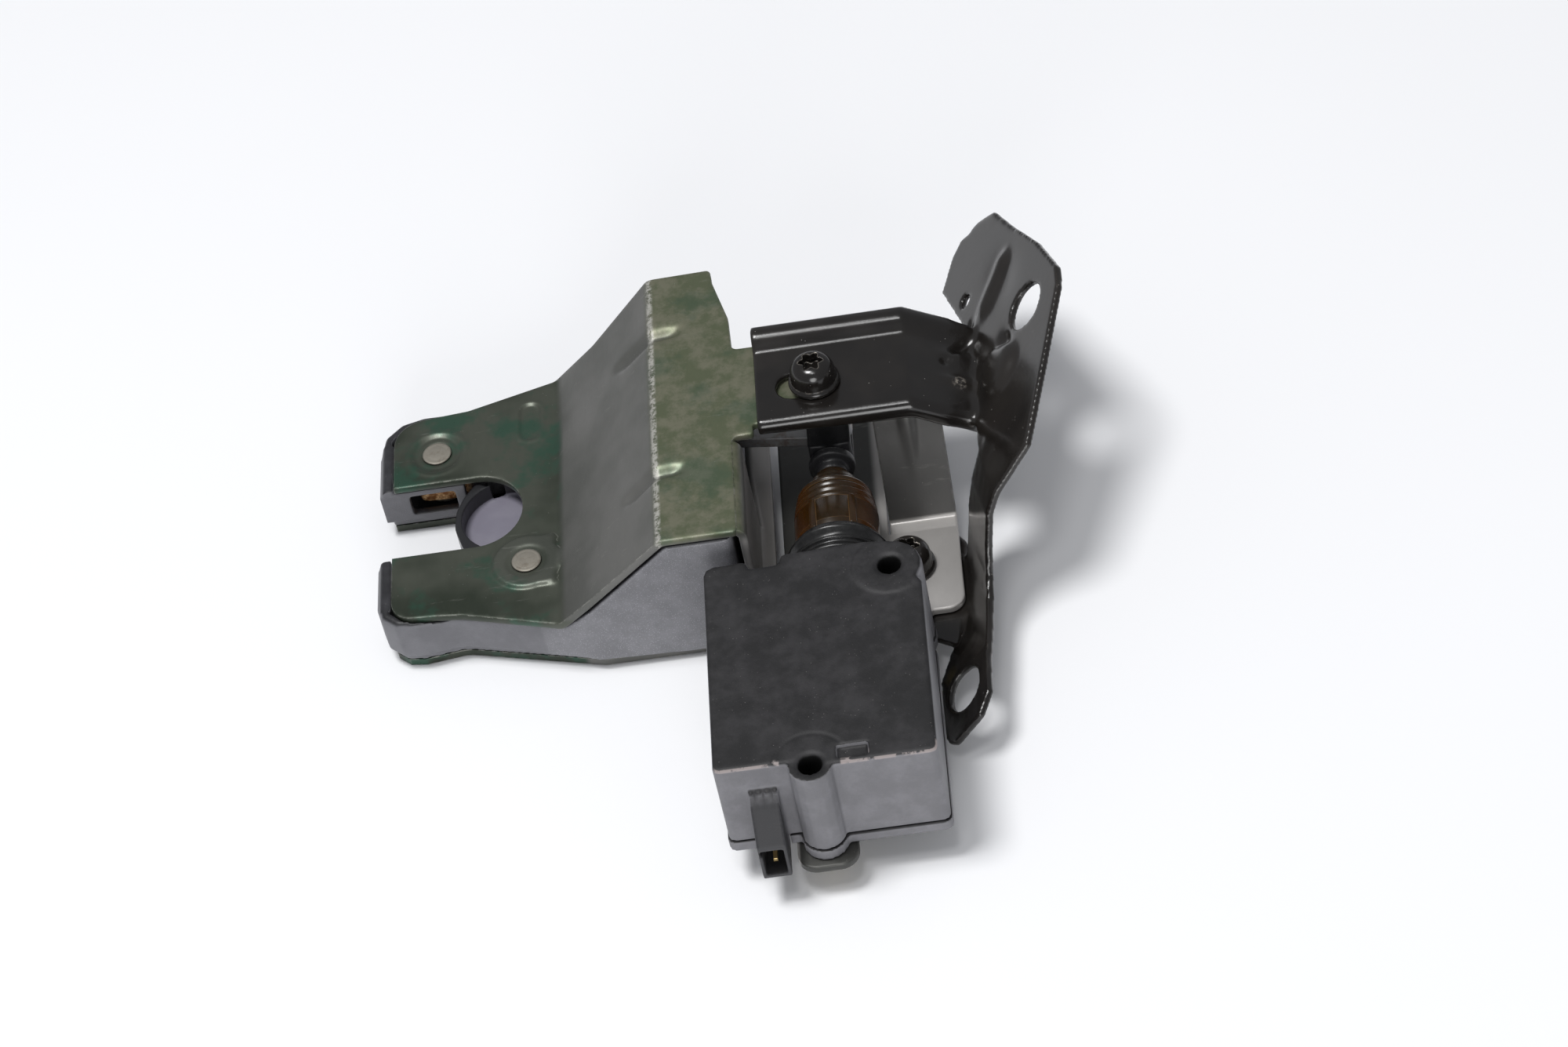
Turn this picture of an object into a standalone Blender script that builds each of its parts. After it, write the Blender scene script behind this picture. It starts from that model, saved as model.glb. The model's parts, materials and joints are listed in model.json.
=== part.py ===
"""Tailgate lock: a rotary catch between two plates, its release motor and its mounting bracket.

All sizes are millimetres and become metres when a mesh is made. +Z is up, the lock lies on its
bottom plate, +Y runs from the motor towards the lever and +X from the striker mouth to the bracket.
The origin is where the catch's pivot rivet meets the table.
"""

from math import atan2, cos, degrees, hypot, pi, radians, sin, sqrt, tan

import bmesh
import bpy
from mathutils import Matrix, Vector
from mathutils.geometry import intersect_line_line_2d

MM = 0.001

# Clearances
SEAT = 0.3            # gap between pieces that touch
RUN = 0.3             # gap between pieces that turn or slide in each other

# Lock plate, one stamping
SHEET = 2.0           # thickness of both stampings
LOW_TOP = 17.0        # top of the two prongs
HIGH_TOP = 41.0       # top of the raised section
FLOOR_TOP = 10.0      # top of the shelf that carries the motor
BEND = 3.0            # bend radius at the middle of the sheet
RAMP_LOW_X = 8.0
RAMP_HIGH_X = 35.5
PRONG_X = -33.0       # ends of the prongs
SLOT_SOUTH = 7.5      # striker mouth
SLOT_NORTH = 30.6
SLOT_END_X = -1.0
PLATE_SOUTH = -22.0
PLATE_NORTH = 66.2
PLATE_EAST = 53.6     # edge of the window
WINDOW_NORTH = 8.5
STRIP_SOUTH = 11.6    # strip that runs east under the bracket
STRIP_NORTH = 37.0
STRIP_EAST = 104.0
TAB_TOP_Y = 12.4
TAB_FOOT_Y = 3.4
WEB_X = 54.6          # web turned down at the window
WEB_FOOT_X = 59.0
SHELF_WEST = 61.0
SHELF_EAST = 102.8
SHELF_NORTH = 40.0
SHELF_SOUTH = -26.5
TONGUE_HALF = 7.0     # tongue under the motor's front boss
DIMPLE_DEPTH = 0.5
PAD_HEIGHT = 0.6

# Housing and bottom plate
WALL = 2.2
HOUSING_WEST = -37.0
HOUSING_EAST = 52.2
HOUSING_LOW = 2.3
HOUSING_FLOOR = 4.4
RIM_TOP = 16.2        # rim round the prong ends
RIM_ROUND = 1.4

# Catch and pawl
CATCH = (0.0, 0.0)
PAWL = (-22.2, SLOT_NORTH + 10.1)
PIVOT_RADIUS = 5.0
RIVET_RADIUS = 3.2
RIVET_PROUD = 0.3
FOOT_RADIUS = 4.5     # rivet head let into the bottom plate
FOOT_DEPTH = 1.0
LEVER_BOTTOM = 6.6
CATCH_WEB_TOP = 9.3
CATCH_TOP = 14.2
PAWL_TOP = 12.4
MOUTH_CENTRE = (-5.2, (SLOT_SOUTH + SLOT_NORTH) / 2 + 0.35)
MOUTH_RADIUS = (SLOT_NORTH - SLOT_SOUTH) / 2 - 0.25
CATCH_REACH = SLOT_NORTH + 3.4      # radius of the catch's tip
PAWL_LIFT = 8.0       # degrees that the pawl is drawn back at rest
SPRING_WIRE = 0.35    # radius of the wire

# Release lever
LEVER_PIVOT = (38.0, 32.0)
LEVER_THICK = 2.8
LEVER_PIN_RADIUS = 2.5
YOKE_PIN_RADIUS = 2.5
YOKE_PIN_Y = 24.0

# Motor unit
AXIS_X = 75.3         # plunger axis
AXIS_Z = 24.0
YOKE_HALF = 5.1
TAB_WEST = AXIS_X + YOKE_HALF + 6.3     # tab that steps down from the strip to the shelf
UNIT_WEST = 44.8
UNIT_EAST = 94.9
UNIT_NORTH = -28.5
NOTCH_WEST = 55.0     # notch in the unit's north side, round the web's foot
NOTCH_EAST = 62.8
UNIT_STEP = 1.9       # the right half of the front stands this much further out
UNIT_TOP = 38.0
UNIT_PARTING = 13.4
UNIT_WALL = 1.8
UNIT_ROUND = 0.8      # top edge
BOSS_RADIUS = 5.0
BOSS_HOLE = 2.7
BOSS_REAR = (87.7, -36.2)
BOSS_DISC = 7.6
BOSS_RING = 8.5
PLUNGER_RADIUS = 4.7
PLUNGER_BORE = 2.6
SPINDLE_RADIUS = 2.2
GEAR_MODULE = 0.6
GEAR_TEETH = 34
PINION_TEETH = 12
GEAR_Y = -52.0
GEAR_WIDTH = 4.0
MOTOR_RADIUS = 10.0
MOTOR_FLAT = 7.5
MOTOR_LENGTH = 29.0
MOTOR_NOSE = 2.2      # from the gears to the motor's front
MOTOR_ROOM = 5.6      # behind the motor, with the wall
UNIT_SOUTH = GEAR_Y - GEAR_WIDTH / 2 - MOTOR_NOSE - MOTOR_LENGTH - MOTOR_ROOM
BOSS_FRONT = (66.5, UNIT_SOUTH - 0.9)
CLIP_RADIUS = 10.0
CLIP_START = -17.2
CLIP_END = 6.5
BOOT_RADIUS = 12.5
CONNECTOR_X = 54.9
CONNECTOR_WIDTH = 6.6
CONNECTOR_END = UNIT_SOUTH - 8.6
PIN_HALF = 0.5
CONNECTOR_LOW = 9.6
CONNECTOR_HIGH = 20.2

# Bracket
BRACKET_SHEET = 1.8
ARM_WEST = 60.0
ARM_SOUTH = 9.6
ARM_CREASE = 33.2
ARM_BEND_X = 96.5
ARM_SLOPE = 28.5
LIP_RISE = 3.4
LIP_WIDTH = 6.0
SOUTH_LIP = 4.0
VALLEY_X = 111.6
VALLEY_Z = 33.5
FLANGE_TILT = 48.65   # upper flange above the table
FLANGE_LEAN = 0.045   # its drop towards the north end
FOLD_X = 105.1        # fold between the lower arm and the lower flange
FOLD_LEAN = 0.0775
FOOT_TILT = 50.9      # lower flange above the table
LOWER_ARM_TOP = 7.7
FIXING_RADIUS = 6.0   # fixing holes in the flange
BULGE_RADIUS = 7.6
RIDGE_RADIUS = 4.0
RIDGE_HEIGHT = 2.6
FOOT_SLOPE = 46.0     # the foot round its fixing hole, above the table
SLOT_HALF = 4.0       # slot for the upper screw

# Screws
SCREW_RADIUS = 3.0
SCREW_HEAD = 6.15
SCREW_HEAD_HEIGHT = 6.8
RECESS_RADIUS = 2.6
RECESS_DEPTH = 3.0
UPPER_SCREW = (ARM_WEST + 14.3, ARM_SOUTH + 10.8)
LOWER_SCREW = (90.7, -11.9)
NUT_ACROSS = 10.0
NUT_HEIGHT = 5.0


def clear_scene():
    for obj in list(bpy.data.objects):
        bpy.data.objects.remove(obj, do_unlink=True)


def material(name, colour, roughness, metallic):
    made = bpy.data.materials.new(name)
    made.use_nodes = True
    shader = made.node_tree.nodes["Principled BSDF"]
    shader.inputs["Base Color"].default_value = (*colour, 1.0)
    shader.inputs["Roughness"].default_value = roughness
    shader.inputs["Metallic"].default_value = metallic
    made.diffuse_color = (*colour, 1.0)
    return made


# Outlines

def arc(centre, radius, start, end, steps):
    """Points along an arc, angles in degrees."""
    angles = [radians(start + (end - start) * i / steps) for i in range(steps + 1)]
    return [(centre[0] + radius * cos(a), centre[1] + radius * sin(a)) for a in angles]


def fillet(before, corner, after, radius, steps):
    """Points of the arc that rounds one corner."""
    here = Vector(corner)
    to_before = (Vector(before) - here)
    to_after = (Vector(after) - here)
    angle = to_before.angle(to_after)
    if angle > radians(179.0):
        return [tuple(here)]
    cut = radius / tan(angle / 2)
    cut = min(cut, to_before.length * 0.49, to_after.length * 0.49)
    radius = cut * tan(angle / 2)
    start = here + to_before.normalized() * cut
    end = here + to_after.normalized() * cut
    middle = here + (to_before.normalized() + to_after.normalized()).normalized() * (radius / sin(angle / 2))
    first = atan2(start.y - middle.y, start.x - middle.x)
    turn = atan2(end.y - middle.y, end.x - middle.x) - first
    turn = (turn + pi) % (2 * pi) - pi
    return [(middle.x + radius * cos(first + turn * i / steps), middle.y + radius * sin(first + turn * i / steps))
            for i in range(steps + 1)]


def rounded(corners, steps=3, closed=True):
    """An outline from corners (x, y) or (x, y, radius)."""
    points = []
    count = len(corners)
    for i, corner in enumerate(corners):
        inside = closed or 0 < i < count - 1
        if len(corner) == 3 and corner[2] > 0 and inside:
            before = corners[i - 1][:2]
            after = corners[(i + 1) % count][:2]
            points += fillet(before, corner[:2], after, corner[2], steps)
        else:
            points.append(tuple(corner[:2]))
    return points


def area(outline):
    return sum(a[0] * b[1] - b[0] * a[1] for a, b in zip(outline, outline[1:] + outline[:1])) / 2


def corner_normal(before, here, after):
    """The direction square to a line at one of its points, and how far to go along it per unit moved."""
    first = (here - before).normalized()
    second = (after - here).normalized()
    normal = Vector((first.y + second.y, -first.x - second.x)).normalized()
    return normal, 1.0 / max(normal.dot(Vector((second.y, -second.x))), 0.5)


def untangled(line):
    """A closed line without the small loops in which it crosses itself."""
    start = max(range(len(line)), key=lambda i: (line[i] - line[i - 1]).length)
    middle = (line[start] + line[start - 1]) / 2
    line = [middle] + line[start:] + line[:start] + [middle]
    clean = [line[0]]
    i = 0
    while i < len(line) - 1:
        step = i + 1
        for j in range(min(i + 14, len(line) - 2), i + 1, -1):
            crossing = intersect_line_line_2d(line[i], line[i + 1], line[j], line[j + 1])
            if crossing:
                line[j] = crossing
                step = j
                break
        i = step
        if (line[i] - clean[-1]).length > 0.02:
            clean.append(line[i])
    return clean[1:-1]


def grown(outline, distance, tidy=True):
    """The outline moved outwards by a distance, or inwards where it is negative.

    Without tidying it keeps its count of points, so that it can be lofted.
    """
    sign = 1 if area(outline) > 0 else -1
    line = [Vector(p) for p in outline]
    moved = []
    for i, here in enumerate(line):
        normal, stretch = corner_normal(line[i - 1], here, line[(i + 1) % len(line)])
        moved.append(here + normal * sign * distance * stretch)
    return [tuple(point) for point in (untangled(moved) if tidy else moved)]


def folded(path, thickness):
    """The section of a folded sheet from its middle line, rounded at the corners (x, y, radius)."""
    line = [Vector(p) for p in rounded(path, 4, closed=False)]
    sides = [[], []]
    for i, point in enumerate(line):
        before = line[i - 1] if i > 0 else point * 2 - line[1]
        after = line[i + 1] if i < len(line) - 1 else point * 2 - line[i - 1]
        normal, stretch = corner_normal(before, point, after)
        for side, sign in zip(sides, (1, -1)):
            side.append(tuple(point + normal * sign * stretch * thickness / 2))
    return sides[0] + sides[1][::-1]


def lobed(radius, depth, lobes, steps_each=6):
    """A round outline with waves, as in a screw's six-lobe recess."""
    count = lobes * steps_each
    return [((radius + depth * cos(lobes * 2 * pi * i / count)) * cos(2 * pi * i / count),
             (radius + depth * cos(lobes * 2 * pi * i / count)) * sin(2 * pi * i / count)) for i in range(count)]


def toothed(teeth, module):
    """A spur gear's outline, with flanks that taper and room for its mate."""
    pitch = teeth * module / 2
    levels = ((pitch - 1.25 * module, 0.33), (pitch + 0.9 * module, 0.11))
    points = []
    for tooth in range(teeth):
        middle = 2 * pi * tooth / teeth
        for side in (-1, 1):
            for radius, half in (levels if side < 0 else levels[::-1]):
                angle = middle + side * half * 2 * pi / teeth
                points.append((radius * cos(angle), radius * sin(angle)))
    return points


# Solids

def solid(name, bm):
    """An object from a mesh in millimetres, with its faces pointing out and none of them bent."""
    bmesh.ops.remove_doubles(bm, verts=bm.verts, dist=1e-4)
    bm.normal_update()
    bent = [f for f in bm.faces
            if max(abs(f.normal.dot(v.co - f.verts[0].co)) for v in f.verts) > 1e-4]
    bmesh.ops.triangulate(bm, faces=bent)
    bmesh.ops.recalc_face_normals(bm, faces=bm.faces)
    bmesh.ops.scale(bm, vec=(MM, MM, MM), verts=bm.verts)
    mesh = bpy.data.meshes.new(name)
    bm.to_mesh(mesh)
    bm.free()
    obj = bpy.data.objects.new(name, mesh)
    bpy.context.scene.collection.objects.link(obj)
    return obj


def stand(point, height, axis):
    """A point of an outline at a height along the extrusion's axis."""
    across, up = point
    if axis == "Z":
        return (across, up, height)
    if axis == "Y":
        return (across, height, up)
    return (height, across, up)


def loft(name, rings):
    """A closed solid through rings of points, capped at both ends."""
    bm = bmesh.new()
    rows = [[bm.verts.new(p) for p in ring] for ring in rings]
    count = len(rows[0])
    bm.faces.new(rows[0][::-1])
    bm.faces.new(rows[-1])
    for low, high in zip(rows, rows[1:]):
        for i in range(count):
            j = (i + 1) % count
            bm.faces.new((low[i], low[j], high[j], high[i]))
    return solid(name, bm)


def prism(outline, low, high, axis="Z", top=1.0, name="shape"):
    """An outline drawn out along an axis, its far end scaled about its middle."""
    count = len(outline)
    middle = (sum(p[0] for p in outline) / count, sum(p[1] for p in outline) / count)
    far = [(middle[0] + (p[0] - middle[0]) * top, middle[1] + (p[1] - middle[1]) * top) for p in outline]
    return loft(name, [[stand(p, low, axis) for p in outline], [stand(p, high, axis) for p in far]])


def block(low, high, name="block"):
    outline = [(low[0], low[1]), (high[0], low[1]), (high[0], high[1]), (low[0], high[1])]
    return prism(outline, low[2], high[2], name=name)


def turned(profile, centre, direction="Z", segments=32, closed=False, name="turned"):
    """A profile of (radius, height) spun round an axis through the centre."""
    bm = bmesh.new()
    verts = [bm.verts.new((r, 0, h)) for r, h in profile]
    edges = [bm.edges.new(pair) for pair in zip(verts, verts[1:])]
    if closed:
        edges.append(bm.edges.new((verts[-1], verts[0])))
    bmesh.ops.spin(bm, geom=verts + edges, axis=(0, 0, 1), cent=(0, 0, 0), angle=2 * pi, steps=segments,
                   use_merge=True)
    bmesh.ops.remove_doubles(bm, verts=bm.verts, dist=1e-4)
    aim = {"X": Vector((1, 0, 0)), "Y": Vector((0, 1, 0)), "Z": Vector((0, 0, 1))}
    way = aim[direction] if isinstance(direction, str) else Vector(direction)
    bmesh.ops.transform(bm, matrix=Matrix.Translation(centre) @ way.to_track_quat("Z", "Y").to_matrix().to_4x4(),
                        verts=bm.verts)
    return solid(name, bm)


def rod(centre, radius, low, high, direction="Z", segments=32, name="rod"):
    return turned([(0, low), (radius, low), (radius, high), (0, high)], centre, direction, segments, name=name)


def wire(path, radius, sides=8, name="wire"):
    """A round wire along a path, its ends closed."""
    points = [Vector(p) for p in path]
    rings = []
    across = (points[1] - points[0]).orthogonal().normalized()
    for i, point in enumerate(points):
        along = (points[min(i + 1, len(points) - 1)] - points[max(i - 1, 0)]).normalized()
        across = (across - along * across.dot(along)).normalized()
        other = along.cross(across)
        rings.append([point + (across * cos(2 * pi * k / sides) + other * sin(2 * pi * k / sides)) * radius
                      for k in range(sides)])
    return loft(name, rings)


def use_modifiers(obj):
    graph = bpy.context.evaluated_depsgraph_get()
    mesh = bpy.data.meshes.new_from_object(obj.evaluated_get(graph))
    obj.modifiers.clear()
    obj.data = mesh


def combine(target, operation, tools):
    """Cut, join or intersect a solid with others, which are used up."""
    for tool in tools:
        step = target.modifiers.new(operation, "BOOLEAN")
        step.operation = operation
        step.solver = "EXACT"
        step.object = tool
        use_modifiers(target)
        bpy.data.objects.remove(tool, do_unlink=True)
    return target


def join(target, *tools):
    return combine(target, "UNION", tools)


def cut(target, *tools):
    return combine(target, "DIFFERENCE", tools)


def keep(target, *tools):
    return combine(target, "INTERSECT", tools)


def finish(obj, name, finish_material, pivot=(0, 0, 0), smooth=28):
    """Name a piece, put its origin on its joint and give it its material."""
    obj.name = name
    mesh = obj.data
    mesh.name = name
    bm = bmesh.new()
    bm.from_mesh(mesh)
    bmesh.ops.remove_doubles(bm, verts=bm.verts, dist=MM * 0.002)
    bmesh.ops.dissolve_degenerate(bm, edges=bm.edges, dist=MM * 0.002)
    bmesh.ops.holes_fill(bm, edges=[e for e in bm.edges if e.is_boundary], sides=4)
    bm.to_mesh(mesh)
    bm.free()
    mesh.transform(Matrix.Translation(-Vector(pivot) * MM))
    obj.location = Vector(pivot) * MM
    mesh.materials.clear()
    mesh.materials.append(finish_material)
    for polygon in mesh.polygons:
        polygon.material_index = 0
    mesh.shade_smooth()
    mesh.set_sharp_from_angle(angle=radians(smooth))
    return obj


# Plan outlines that the plate, the housing and the bottom plate share

def throat(margin, steps=9):
    """The round inner end of the striker mouth, from its north edge to its south edge."""
    radius = (SLOT_NORTH - SLOT_SOUTH) / 2 + margin
    centre = (SLOT_END_X - (SLOT_NORTH - SLOT_SOUTH) / 2, (SLOT_NORTH + SLOT_SOUTH) / 2)
    return arc(centre, radius, 90, -90, steps)


def plate_outline():
    corners = [(PRONG_X, SLOT_SOUTH, 2.5), (PRONG_X, -12.6, 6.5), (-22.0, -13.3, 5.0), (-16.0, -14.0, 6.0),
               (RAMP_LOW_X, PLATE_SOUTH + 0.6, 2.0), (16.0, PLATE_SOUTH, 2.0), (PLATE_EAST, PLATE_SOUTH, 1.0),
               (PLATE_EAST, WINDOW_NORTH, 2.0), (ARM_WEST - 1.2, WINDOW_NORTH, 0.8),
               (ARM_WEST - 1.2, STRIP_SOUTH, 0.8), (TAB_WEST - 0.6, STRIP_SOUTH, 0.8),
               (TAB_WEST - 0.6, TAB_TOP_Y + 4.4, 0.8), (STRIP_EAST, TAB_TOP_Y + 4.4), (STRIP_EAST, STRIP_NORTH, 2.0),
               (PLATE_EAST + 1.2, STRIP_NORTH + 0.6, 1.5), (PLATE_EAST + 0.7, 48.6, 3.0), (50.9, 61.6, 3.0),
               (50.5, PLATE_NORTH, 1.2), (34.5, PLATE_NORTH - 0.4, 2.5), (19.0, 60.6, 6.0),
               (RAMP_LOW_X, 60.1, 3.0), (-14.4, SLOT_NORTH + 23.3, 6.0), (PRONG_X, SLOT_NORTH + 21.8, 8.0),
               (PRONG_X, SLOT_NORTH, 2.5)]
    return rounded(corners) + throat(0)


def housing_outline():
    corners = [(HOUSING_WEST, SLOT_SOUTH - 0.4, 3.5), (HOUSING_WEST, -15.6, 9.0), (-17.5, -13.0, 9.0),
               (15.5, PLATE_SOUTH - 0.3, 4.0), (HOUSING_EAST, PLATE_SOUTH - 0.3, 2.0),
               (HOUSING_EAST, 47.5, 2.0), (49.5, PLATE_NORTH - 1.6, 2.0), (34.8, PLATE_NORTH - 1.8, 3.0),
               (19.2, 59.2, 6.0), (RAMP_LOW_X, 58.6, 4.0), (-12.0, SLOT_NORTH + 24.3, 8.0),
               (HOUSING_WEST, SLOT_NORTH + 24.6, 11.0),
               (HOUSING_WEST, SLOT_NORTH + 0.4, 3.5)]
    return rounded(corners) + throat(0.4)


def under_plate(gap):
    """Section of everything that lies under the folded plate, less a gap."""
    low = LOW_TOP - SHEET - gap
    high = HIGH_TOP - SHEET - gap
    slope = atan2(HIGH_TOP - LOW_TOP, RAMP_HIGH_X - RAMP_LOW_X)
    shift = (SHEET + gap) * tan(slope / 2)
    return [(-80, -20), (130, -20), (130, high), (RAMP_HIGH_X + shift, high), (RAMP_LOW_X + shift, low), (-80, low)]


# Pieces

def lock_plate(steel):
    middle_low = LOW_TOP - SHEET / 2
    middle_high = HIGH_TOP - SHEET / 2
    shelf = FLOOR_TOP - SHEET / 2
    section = folded([(-50, middle_low), (RAMP_LOW_X, middle_low, BEND), (RAMP_HIGH_X, middle_high, BEND),
                      (STRIP_EAST + 6, middle_high)], SHEET)
    plate = prism(section, -40, 80, "Y", name="lock_plate")
    keep(plate, prism(plate_outline(), 0, 60))
    web = folded([(PLATE_EAST - 5, middle_high), (WEB_X, middle_high, 2.5), (WEB_X, shelf, 2.5),
                  (WEB_FOOT_X, shelf)], SHEET)
    tab = folded([(TAB_TOP_Y + 8, middle_high), (TAB_TOP_Y, middle_high, 2.5), (TAB_FOOT_Y, shelf, 2.5),
                  (TAB_FOOT_Y - 8, shelf)], SHEET)
    join(plate, prism(web, PLATE_SOUTH + 0.5, WINDOW_NORTH - 1.0, "Y"), prism(tab, TAB_WEST, SHELF_EAST, "X"))
    tongue_west = BOSS_FRONT[0] - TONGUE_HALF
    tongue_east = BOSS_FRONT[0] + TONGUE_HALF
    tongue_end = BOSS_FRONT[1] - TONGUE_HALF + 0.2
    shelf_corners = [(SHELF_WEST, SHELF_NORTH, 1.5), (SHELF_WEST, -64.0), (tongue_west, -66.0),
                     (tongue_west, tongue_end, 4.5), (tongue_east, tongue_end, 4.5), (tongue_east, -58.0, 6.0),
                     (UNIT_EAST - 0.4, -46.0, 6.0), (UNIT_EAST - 0.4, SHELF_SOUTH, 1.0),
                     (SHELF_EAST, SHELF_SOUTH, 5.0), (SHELF_EAST, TAB_FOOT_Y - 4.0), (TAB_WEST - 0.5, TAB_FOOT_Y - 4.0),
                     (TAB_WEST - 0.5, SHELF_NORTH, 1.5)]
    join(plate, block((HOUSING_EAST + 0.7, WINDOW_NORTH - 3.0, FLOOR_TOP - SHEET), (WEB_FOOT_X, SHELF_NORTH, FLOOR_TOP)))
    join(plate, prism(rounded(shelf_corners), FLOOR_TOP - SHEET, FLOOR_TOP))
    drop = 20 * tan(radians(ARM_SLOPE))
    under_slope = [(ARM_BEND_X, HIGH_TOP), (ARM_BEND_X + 20, HIGH_TOP - drop), (ARM_BEND_X + 20, HIGH_TOP + 20),
                   (ARM_BEND_X, HIGH_TOP + 20)]
    under_lip = [(x, z - SOUTH_LIP) for x, z in under_slope]
    cut(plate, prism(under_slope, 0, 60, "Y"), prism(under_lip, 0, ARM_SOUTH + BRACKET_SHEET, "Y"))
    pad = [p for p in arc(CATCH, 8.7, 55, 305, 14)]
    pad = rounded([(7.0, 8.0, 1.5)] + pad + [(7.0, -8.0, 1.5)])
    join(plate, prism(pad, LOW_TOP - 0.5, LOW_TOP + PAD_HEIGHT, top=0.84))
    dish = [(0, LOW_TOP - DIMPLE_DEPTH), (5.2, LOW_TOP - DIMPLE_DEPTH), (6.3, LOW_TOP + 0.2), (0, LOW_TOP + 0.2)]
    oval = rounded([(-0.7, 41.6, 1.8), (2.9, 42.4, 1.8), (2.9, 52.6, 1.8), (-0.7, 51.8, 1.8)])
    cut(plate, turned(dish, (*PAWL, 0)), prism(oval, LOW_TOP - DIMPLE_DEPTH, LOW_TOP + 1))
    for centre in (CATCH, PAWL):
        cut(plate, rod((*centre, 0), RIVET_RADIUS + RUN, LOW_TOP - 5, LOW_TOP + 5, segments=20))
    for centre in (BOSS_FRONT, BOSS_REAR):
        cut(plate, rod((*centre, 0), BOSS_HOLE, 0, 14, segments=20))
    cut(plate, rod((*UPPER_SCREW, 0), SCREW_RADIUS + RUN, HIGH_TOP - 5, HIGH_TOP + 5, segments=24),
        rod((*LOWER_SCREW, 0), SCREW_RADIUS + RUN, 0, 14, segments=24))
    return finish(plate, "lock_plate", steel)


def lock_housing(plastic):
    outline = housing_outline()
    body = prism(outline, HOUSING_LOW, 60, name="lock_housing")
    keep(body, prism(under_plate(SEAT), -60, 100, "Y"))
    rim_low = LOW_TOP - SHEET - SEAT - 0.5
    rings = [[(*p, rim_low) for p in outline]]
    for i in range(3):
        lean = i * pi / 4
        inset = RIM_ROUND * (1 - cos(lean))
        rings.append([(*p, RIM_TOP - RIM_ROUND + RIM_ROUND * sin(lean)) for p in grown(outline, -inset, tidy=False)])
    rim = loft("rim", rings)
    keep(rim, block((HOUSING_WEST - 5, -60, 0), (-8.0, 100, 40)))
    cut(rim, prism(grown(plate_outline(), 0.4), LOW_TOP - SHEET - SEAT, 30))
    join(body, rim)
    undercut = prism([(-50, -5), (36, -5), (36, HOUSING_LOW), (-5, HOUSING_LOW + 2.1), (-50, HOUSING_LOW + 2.3)],
                     -60, 100, "Y")
    cut(undercut, prism(grown(outline, -1.2), -9, 20))
    cut(body, undercut)
    cut(body, prism(grown(outline, -WALL), HOUSING_FLOOR, 80))
    join(body, rod((*LEVER_PIVOT, 0), 5.5, HOUSING_FLOOR - 1, lever_bottom() - SEAT))
    sweep = rod((*CATCH, 0), CATCH_REACH + 0.7, LEVER_BOTTOM - 0.6, LOW_TOP + 5, segments=48)
    keep(sweep, block((-60, SLOT_SOUTH - WALL - 3, 0), (10, SLOT_NORTH + 20, 40)))
    nose_room = block((-16, SLOT_NORTH - 1, LEVER_BOTTOM - 0.6), (2, SLOT_NORTH + 6, 30))
    window = block((-30, SLOT_NORTH - 1, LEVER_BOTTOM), (-18.5, SLOT_NORTH + 4, PAWL_TOP + 0.2))
    lever_door = block((HOUSING_EAST - 5, YOKE_PIN_Y - 14, 14), (PLATE_EAST + 2, 46, 34))
    cut(body, sweep, nose_room, window, lever_door,
        rod((*LEVER_PIVOT, 0), LEVER_PIN_RADIUS + 0.05, 12, 60, segments=24))
    for centre in (CATCH, PAWL):
        cut(body, rod((*centre, 0), RIVET_RADIUS + RUN, 0, 8, segments=16))
    return finish(body, "lock_housing", plastic)


def bottom_plate(steel):
    plate = prism(grown(housing_outline(), -1.5), 0, SHEET, name="bottom_plate")
    for centre in (CATCH, PAWL):
        cut(plate, rod((*centre, 0), RIVET_RADIUS + RUN, -1, 4, segments=16),
            rod((*centre, 0), FOOT_RADIUS + RUN, -1, FOOT_DEPTH + SEAT, segments=16))
    return finish(plate, "bottom_plate", steel)


def pivot_rivet(name, centre, top, steel):
    under = LOW_TOP - SHEET - SEAT
    profile = [(0, 0), (FOOT_RADIUS, 0), (FOOT_RADIUS, FOOT_DEPTH), (RIVET_RADIUS, FOOT_DEPTH),
               (RIVET_RADIUS, HOUSING_FLOOR + SEAT), (PIVOT_RADIUS, HOUSING_FLOOR + SEAT), (PIVOT_RADIUS, under),
               (RIVET_RADIUS, under), (RIVET_RADIUS, top - 0.4), (RIVET_RADIUS - 0.5, top), (0, top)]
    return finish(turned(profile, (*centre, 0), segments=16), name, steel)


def catch_outline():
    north = SLOT_NORTH
    middle = MOUTH_CENTRE[1]
    return rounded([(-8.4, -4.0, 3.0), (-13.0, 3.5, 6.0), (-16.4, 11.0, 8.0), (-18.2, middle - 2.4, 8.0),
                    (-17.9, middle + 3.0, 8.0), (-16.0, north - 3.4, 6.0), (-12.9, north + 0.9, 1.2),
                    (-10.4, north - 0.7, 0.9), (-8.8, north - 0.2), (-6.6, north + 0.4, 1.0),
                    (-6.0, north + 2.7, 0.8), (-2.2, north + 2.4, 1.5), (5.6, north - 1.6, 3.0),
                    (9.4, middle + 0.6, 8.0), (9.6, 8.0, 5.0), (9.2, -3.0, 5.0), (3.0, -9.2, 5.0),
                    (-5.0, -8.4, 4.0)][::-1], 3)


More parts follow.
